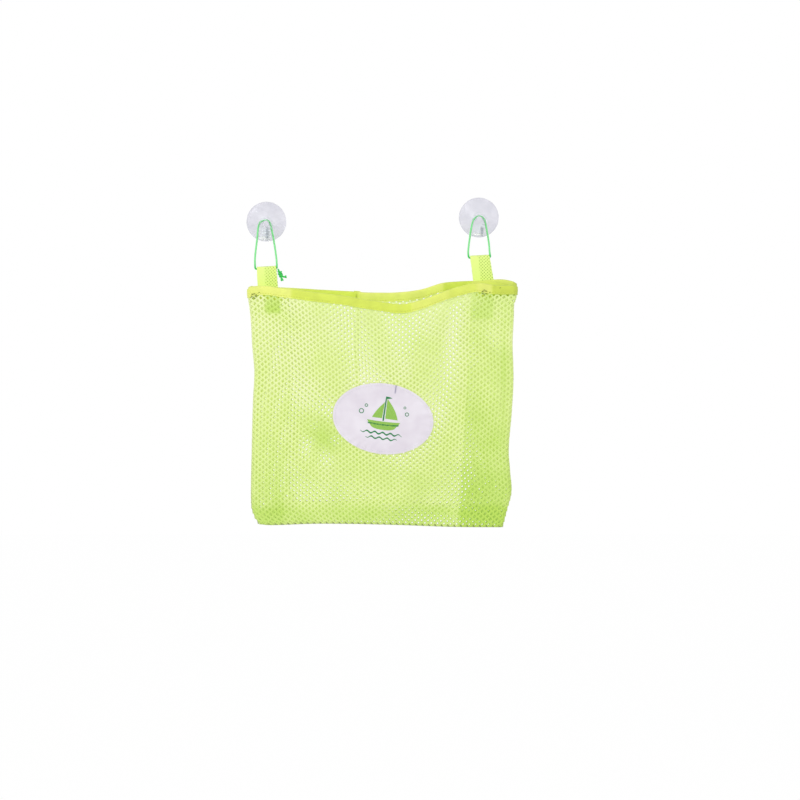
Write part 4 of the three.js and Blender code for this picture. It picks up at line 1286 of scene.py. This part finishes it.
def netShading(p):
    # painted light and shade: paler where the net hangs in two layers, and deeper towards the foot, at the
    # folded bottom edge, over the gussets' folds low down, at the bunched patch, over the tab tails behind it
    # and along the right edge, as the light from the upper left falls off and shade gathers there; a paler
    # streak runs up the left, and two noises add uneven dye. The numbers are places on the bag in millimetres
    # and shares of the tone
    tall = clamped((p.z - bag["bottom"]) / 280)
    level = 0.16 + 0.14 * eased((-p.z - 200) / 160) + 0.25 * eased((-338 - p.z) / 14)
    level += eased((p.x - mixed(101, 117, tall)) / 4) * mixed(0.42, 0.12, tall)
    level += eased((-105 - p.x) / 4) * mixed(0.16, -0.16, tall)
    level += 0.35 * hump(p.x, -63, 22) * hump(p.z, -261, 26) - 0.2 * hump(p.x, -84, 14) * hump(p.z, -160, 60)
    level += 0.2 * hump(p.x, 157, 2.5) * hump(p.z, -180, 70)
    level += 0.16 * wander(p.x + 0.6 * p.z, p.z, 55, 6.1) + 0.1 * wander(p.x, p.z, 21, 2.6)
    for low, high, foot, depth in ((-130, -107, -114, 0.6), (115, 146, -121, 0.25)):
        within = eased((p.x - low) / 4) * eased((high - p.x) / 4) * eased((p.z - foot) / 6)
        level += depth * within * eased((-84 - p.z) / 3)
    return clamped(level)


def toneBetween(p, marks):
    # the tone of the last mark that lies left of the point, eased in over a few millimetres
    level = marks[0][1]
    for x, after in marks[1:]:
        level = mixed(level, after, eased((p.x - x) / 3))
    return level


# painted light and shade along the front and gusset tapes: pale where the tape faces the light, olive where
# it turns away into shade
def frontTapeShading(p):
    return toneBetween(p, ((-150, 0.05), (-98, 0.8), (45, 0.35), (90, 0.6), (123, 0.2), (141, 0.88)))


# painted light and shade along the back tape and its join, with a painted shadow under the lap's fold at the
# join
def backTapeShading(p):
    level = toneBetween(p, ((-150, 0.3), (-98, 0.82), (lap["x"], 0.1), (84, 0.85), (118, 0.35)))
    return mixed(level, 1, hump(p.x, lap["x"] - 0.5, 1.5) * hump(p.z, -92, 3))


# the nets behind the front one lie in its shade, and read as pale as the photo only with a paler tone
for piece, change in ((frontNet, 0.05), (backNet, -0.3), (backSeam, -0.1), (bottomNet, -0.12),
                      (leftGusset, -0.22), (rightGusset, -0.22)):
    addTone(piece, lambda p: clamped(netShading(p) + change))
for piece, toneAt in ((frontTape, frontTapeShading), (leftTape, frontTapeShading), (rightTape, frontTapeShading),
                      (backTape, backTapeShading), (tapeJoin, backTapeShading)):
    addTone(piece, toneAt)
addTone(labelPatch, creaseTone)


# what each piece stands for, and its finish
def dress(piece, material, slot, *nodes):
    piece.data.materials.clear()
    piece.data.materials.append(material)
    if nodes:
        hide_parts(*nodes)


dress(frontNet, netting, "netting", "front_net")
dress(backNet, netting, "netting", "back_net")
dress(bottomNet, netting, "netting", "bottom_net")
dress(frontTape, bindingTape, "binding", "front_rim_binding")
dress(backTape, bindingTape, "binding", "back_rim_binding")
dress(tapeJoin, bindingTape, "binding", "binding_join")
dress(backSeam, netting, "netting", "back_seam")
dress(frontStitches, rimThread, "thread", "front_rim_stitching")
dress(backStitches, rimThread, "thread", "back_rim_stitching")
dress(labelPatch, satin, "label", "label_patch")
dress(labelStitches, whiteThread, "thread", "label_stitching")
dress(lightPrint, lightInk, "label")
dress(darkPrint, darkInk, "label")
pairs = {
    "left": (leftGusset, leftTape, leftTack, leftTab, leftTabStitches, leftRing, leftKnot, leftCup, leftHook),
    "right": (rightGusset, rightTape, rightTack, rightTab, rightTabStitches, rightRing, rightKnot,
              rightCup, rightHook),
}
for side, (net, binding, stray, tab, tabStitching, ring, tied, sucker, hook) in pairs.items():
    dress(net, netting, "netting", side + "_gusset_net")
    dress(binding, bindingTape, "binding", side + "_gusset_binding")
    dress(stray, darkThread, "thread")
    dress(tab, strap, "webbing", side + "_webbing_tab")
    dress(tabStitching, tackThread, "thread", side + "_tab_stitching")
    dress(ring, braid, "elastic_cord", side + "_elastic_top", side + "_elastic_loop")
    dress(tied, braid, "elastic_cord", side + "_elastic_knot")
    dress(sucker, clearPvc, "clear_pvc", side + "_suction_cup")
    dress(hook, clearHook, "clear_plastic", side + "_hook")

riders = {
    "wall_cups": (leftCup, rightCup),
    "left_hook": (leftHook,),
    "right_hook": (rightHook,),
    "hanging_loops": (leftKnot,),
    "bag": (backNet, backTape, tapeJoin, backSeam, backStitches, leftTab, rightTab, leftTabStitches,
            rightTabStitches, rightKnot),
    "front_panel": (frontNet, frontTape, frontStitches, leftTack, rightTack, labelPatch, labelStitches,
                    lightPrint, darkPrint),
}
for body, pieces in riders.items():
    for piece in pieces:
        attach(piece, body)

# the gussets, the bottom and the gusset tapes stay on no body, their places baked into their meshes
for piece in (leftGusset, rightGusset, bottomNet, leftTape, rightTape):
    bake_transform(piece)

# each ring stays on no body, its place baked into its mesh
for ring, pivot in ((leftRing, -28.0), (rightRing, -23.0)):
    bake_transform(ring)

print("pieces dressed and hung on their bodies")


# The plain studio: a pale floor well below, soft light, and a white surround that the camera sees.
studio = dict(floorLevel=-640, floorSize=5, floorColour="#ecebe8", ambient=0.68, surround="#f4f5f8")
bpy.ops.object.select_all(action="DESELECT")
bpy.ops.mesh.primitive_plane_add(size=studio["floorSize"], location=(0, 0, studio["floorLevel"] * mm))
floor = bpy.context.active_object
floor.name = "floor"


def seenPlainly(owner):
    # one where the camera sees it directly, through clear plastic or in a gloss
    rays = addNode(owner, "ShaderNodeLightPath").outputs
    direct = computed(owner, "MAXIMUM", rays["Is Camera Ray"], rays["Is Transmission Ray"])
    return computed(owner, "MAXIMUM", direct, rays["Is Glossy Ray"])


def whitened(owner, share, plain, white, ending):
    # the plain shader, and white instead of it by the share
    inputs = {"Fac": share, 1: plain, 2: white.outputs[0]}
    mixture = addNode(owner, "ShaderNodeMixShader", None, inputs)
    owner.node_tree.links.new(mixture.outputs["Shader"], owner.node_tree.nodes[ending].inputs["Surface"])


paper, surface = newMaterial("matWhitePaper", Roughness=0.9)
surface.inputs["Base Color"].default_value = shade(studio["floorColour"])
white = addNode(paper, "ShaderNodeEmission", None, {"Color": (1, 1, 1, 1), "Strength": 1.0})
share = computed(paper, "MULTIPLY", seenPlainly(paper), 0.99)
whitened(paper, share, surface.outputs["BSDF"], white, "Material Output")
floor.data.materials.append(paper)

world = bpy.data.worlds.new("studio")
bpy.context.scene.world = world
world.use_nodes = True
sky = world.node_tree.nodes["Background"]
sky.inputs["Color"].default_value = shade(studio["surround"])
sky.inputs["Strength"].default_value = studio["ambient"]
white = addNode(world, "ShaderNodeBackground", None, {"Color": (1, 1, 1, 1), "Strength": 1.0})
whitened(world, seenPlainly(world), sky.outputs["Background"], white, "World Output")

# the lamps and the camera look at the middle of the picture
middle = Vector((33, -30, -216)) * mm


def aimed(name, data, place):
    piece = placed(name, data)
    piece.location = place
    piece.rotation_euler = (middle - Vector(place)).to_track_quat("-Z", "Y").to_euler()
    return piece


def lamp(name, place, size, power):
    data = bpy.data.lights.new(name, "AREA")
    data.size, data.energy = size, power
    aimed(name, data, place)


lamp("key", (-1.1, -1.7, 0.9), 1.2, 17)
lamp("fill", (1.5, -1.5, 0.1), 1.4, 6)

# the photograph's own view: straight on, from a little above
view = dict(distance=3800, elevation=3.5, frameWidth=960, sensor=36)
cameraData = bpy.data.cameras.new("view")
cameraData.sensor_width = view["sensor"]
cameraData.lens = view["sensor"] * view["distance"] / view["frameWidth"]
tilt = math.radians(view["elevation"])
place = middle + Vector((0, -math.cos(tilt), math.sin(tilt))) * view["distance"] * mm
bpy.context.scene.camera = aimed("view", cameraData, place)
bpy.context.scene.view_settings.view_transform = "Standard"
print("studio and camera set")
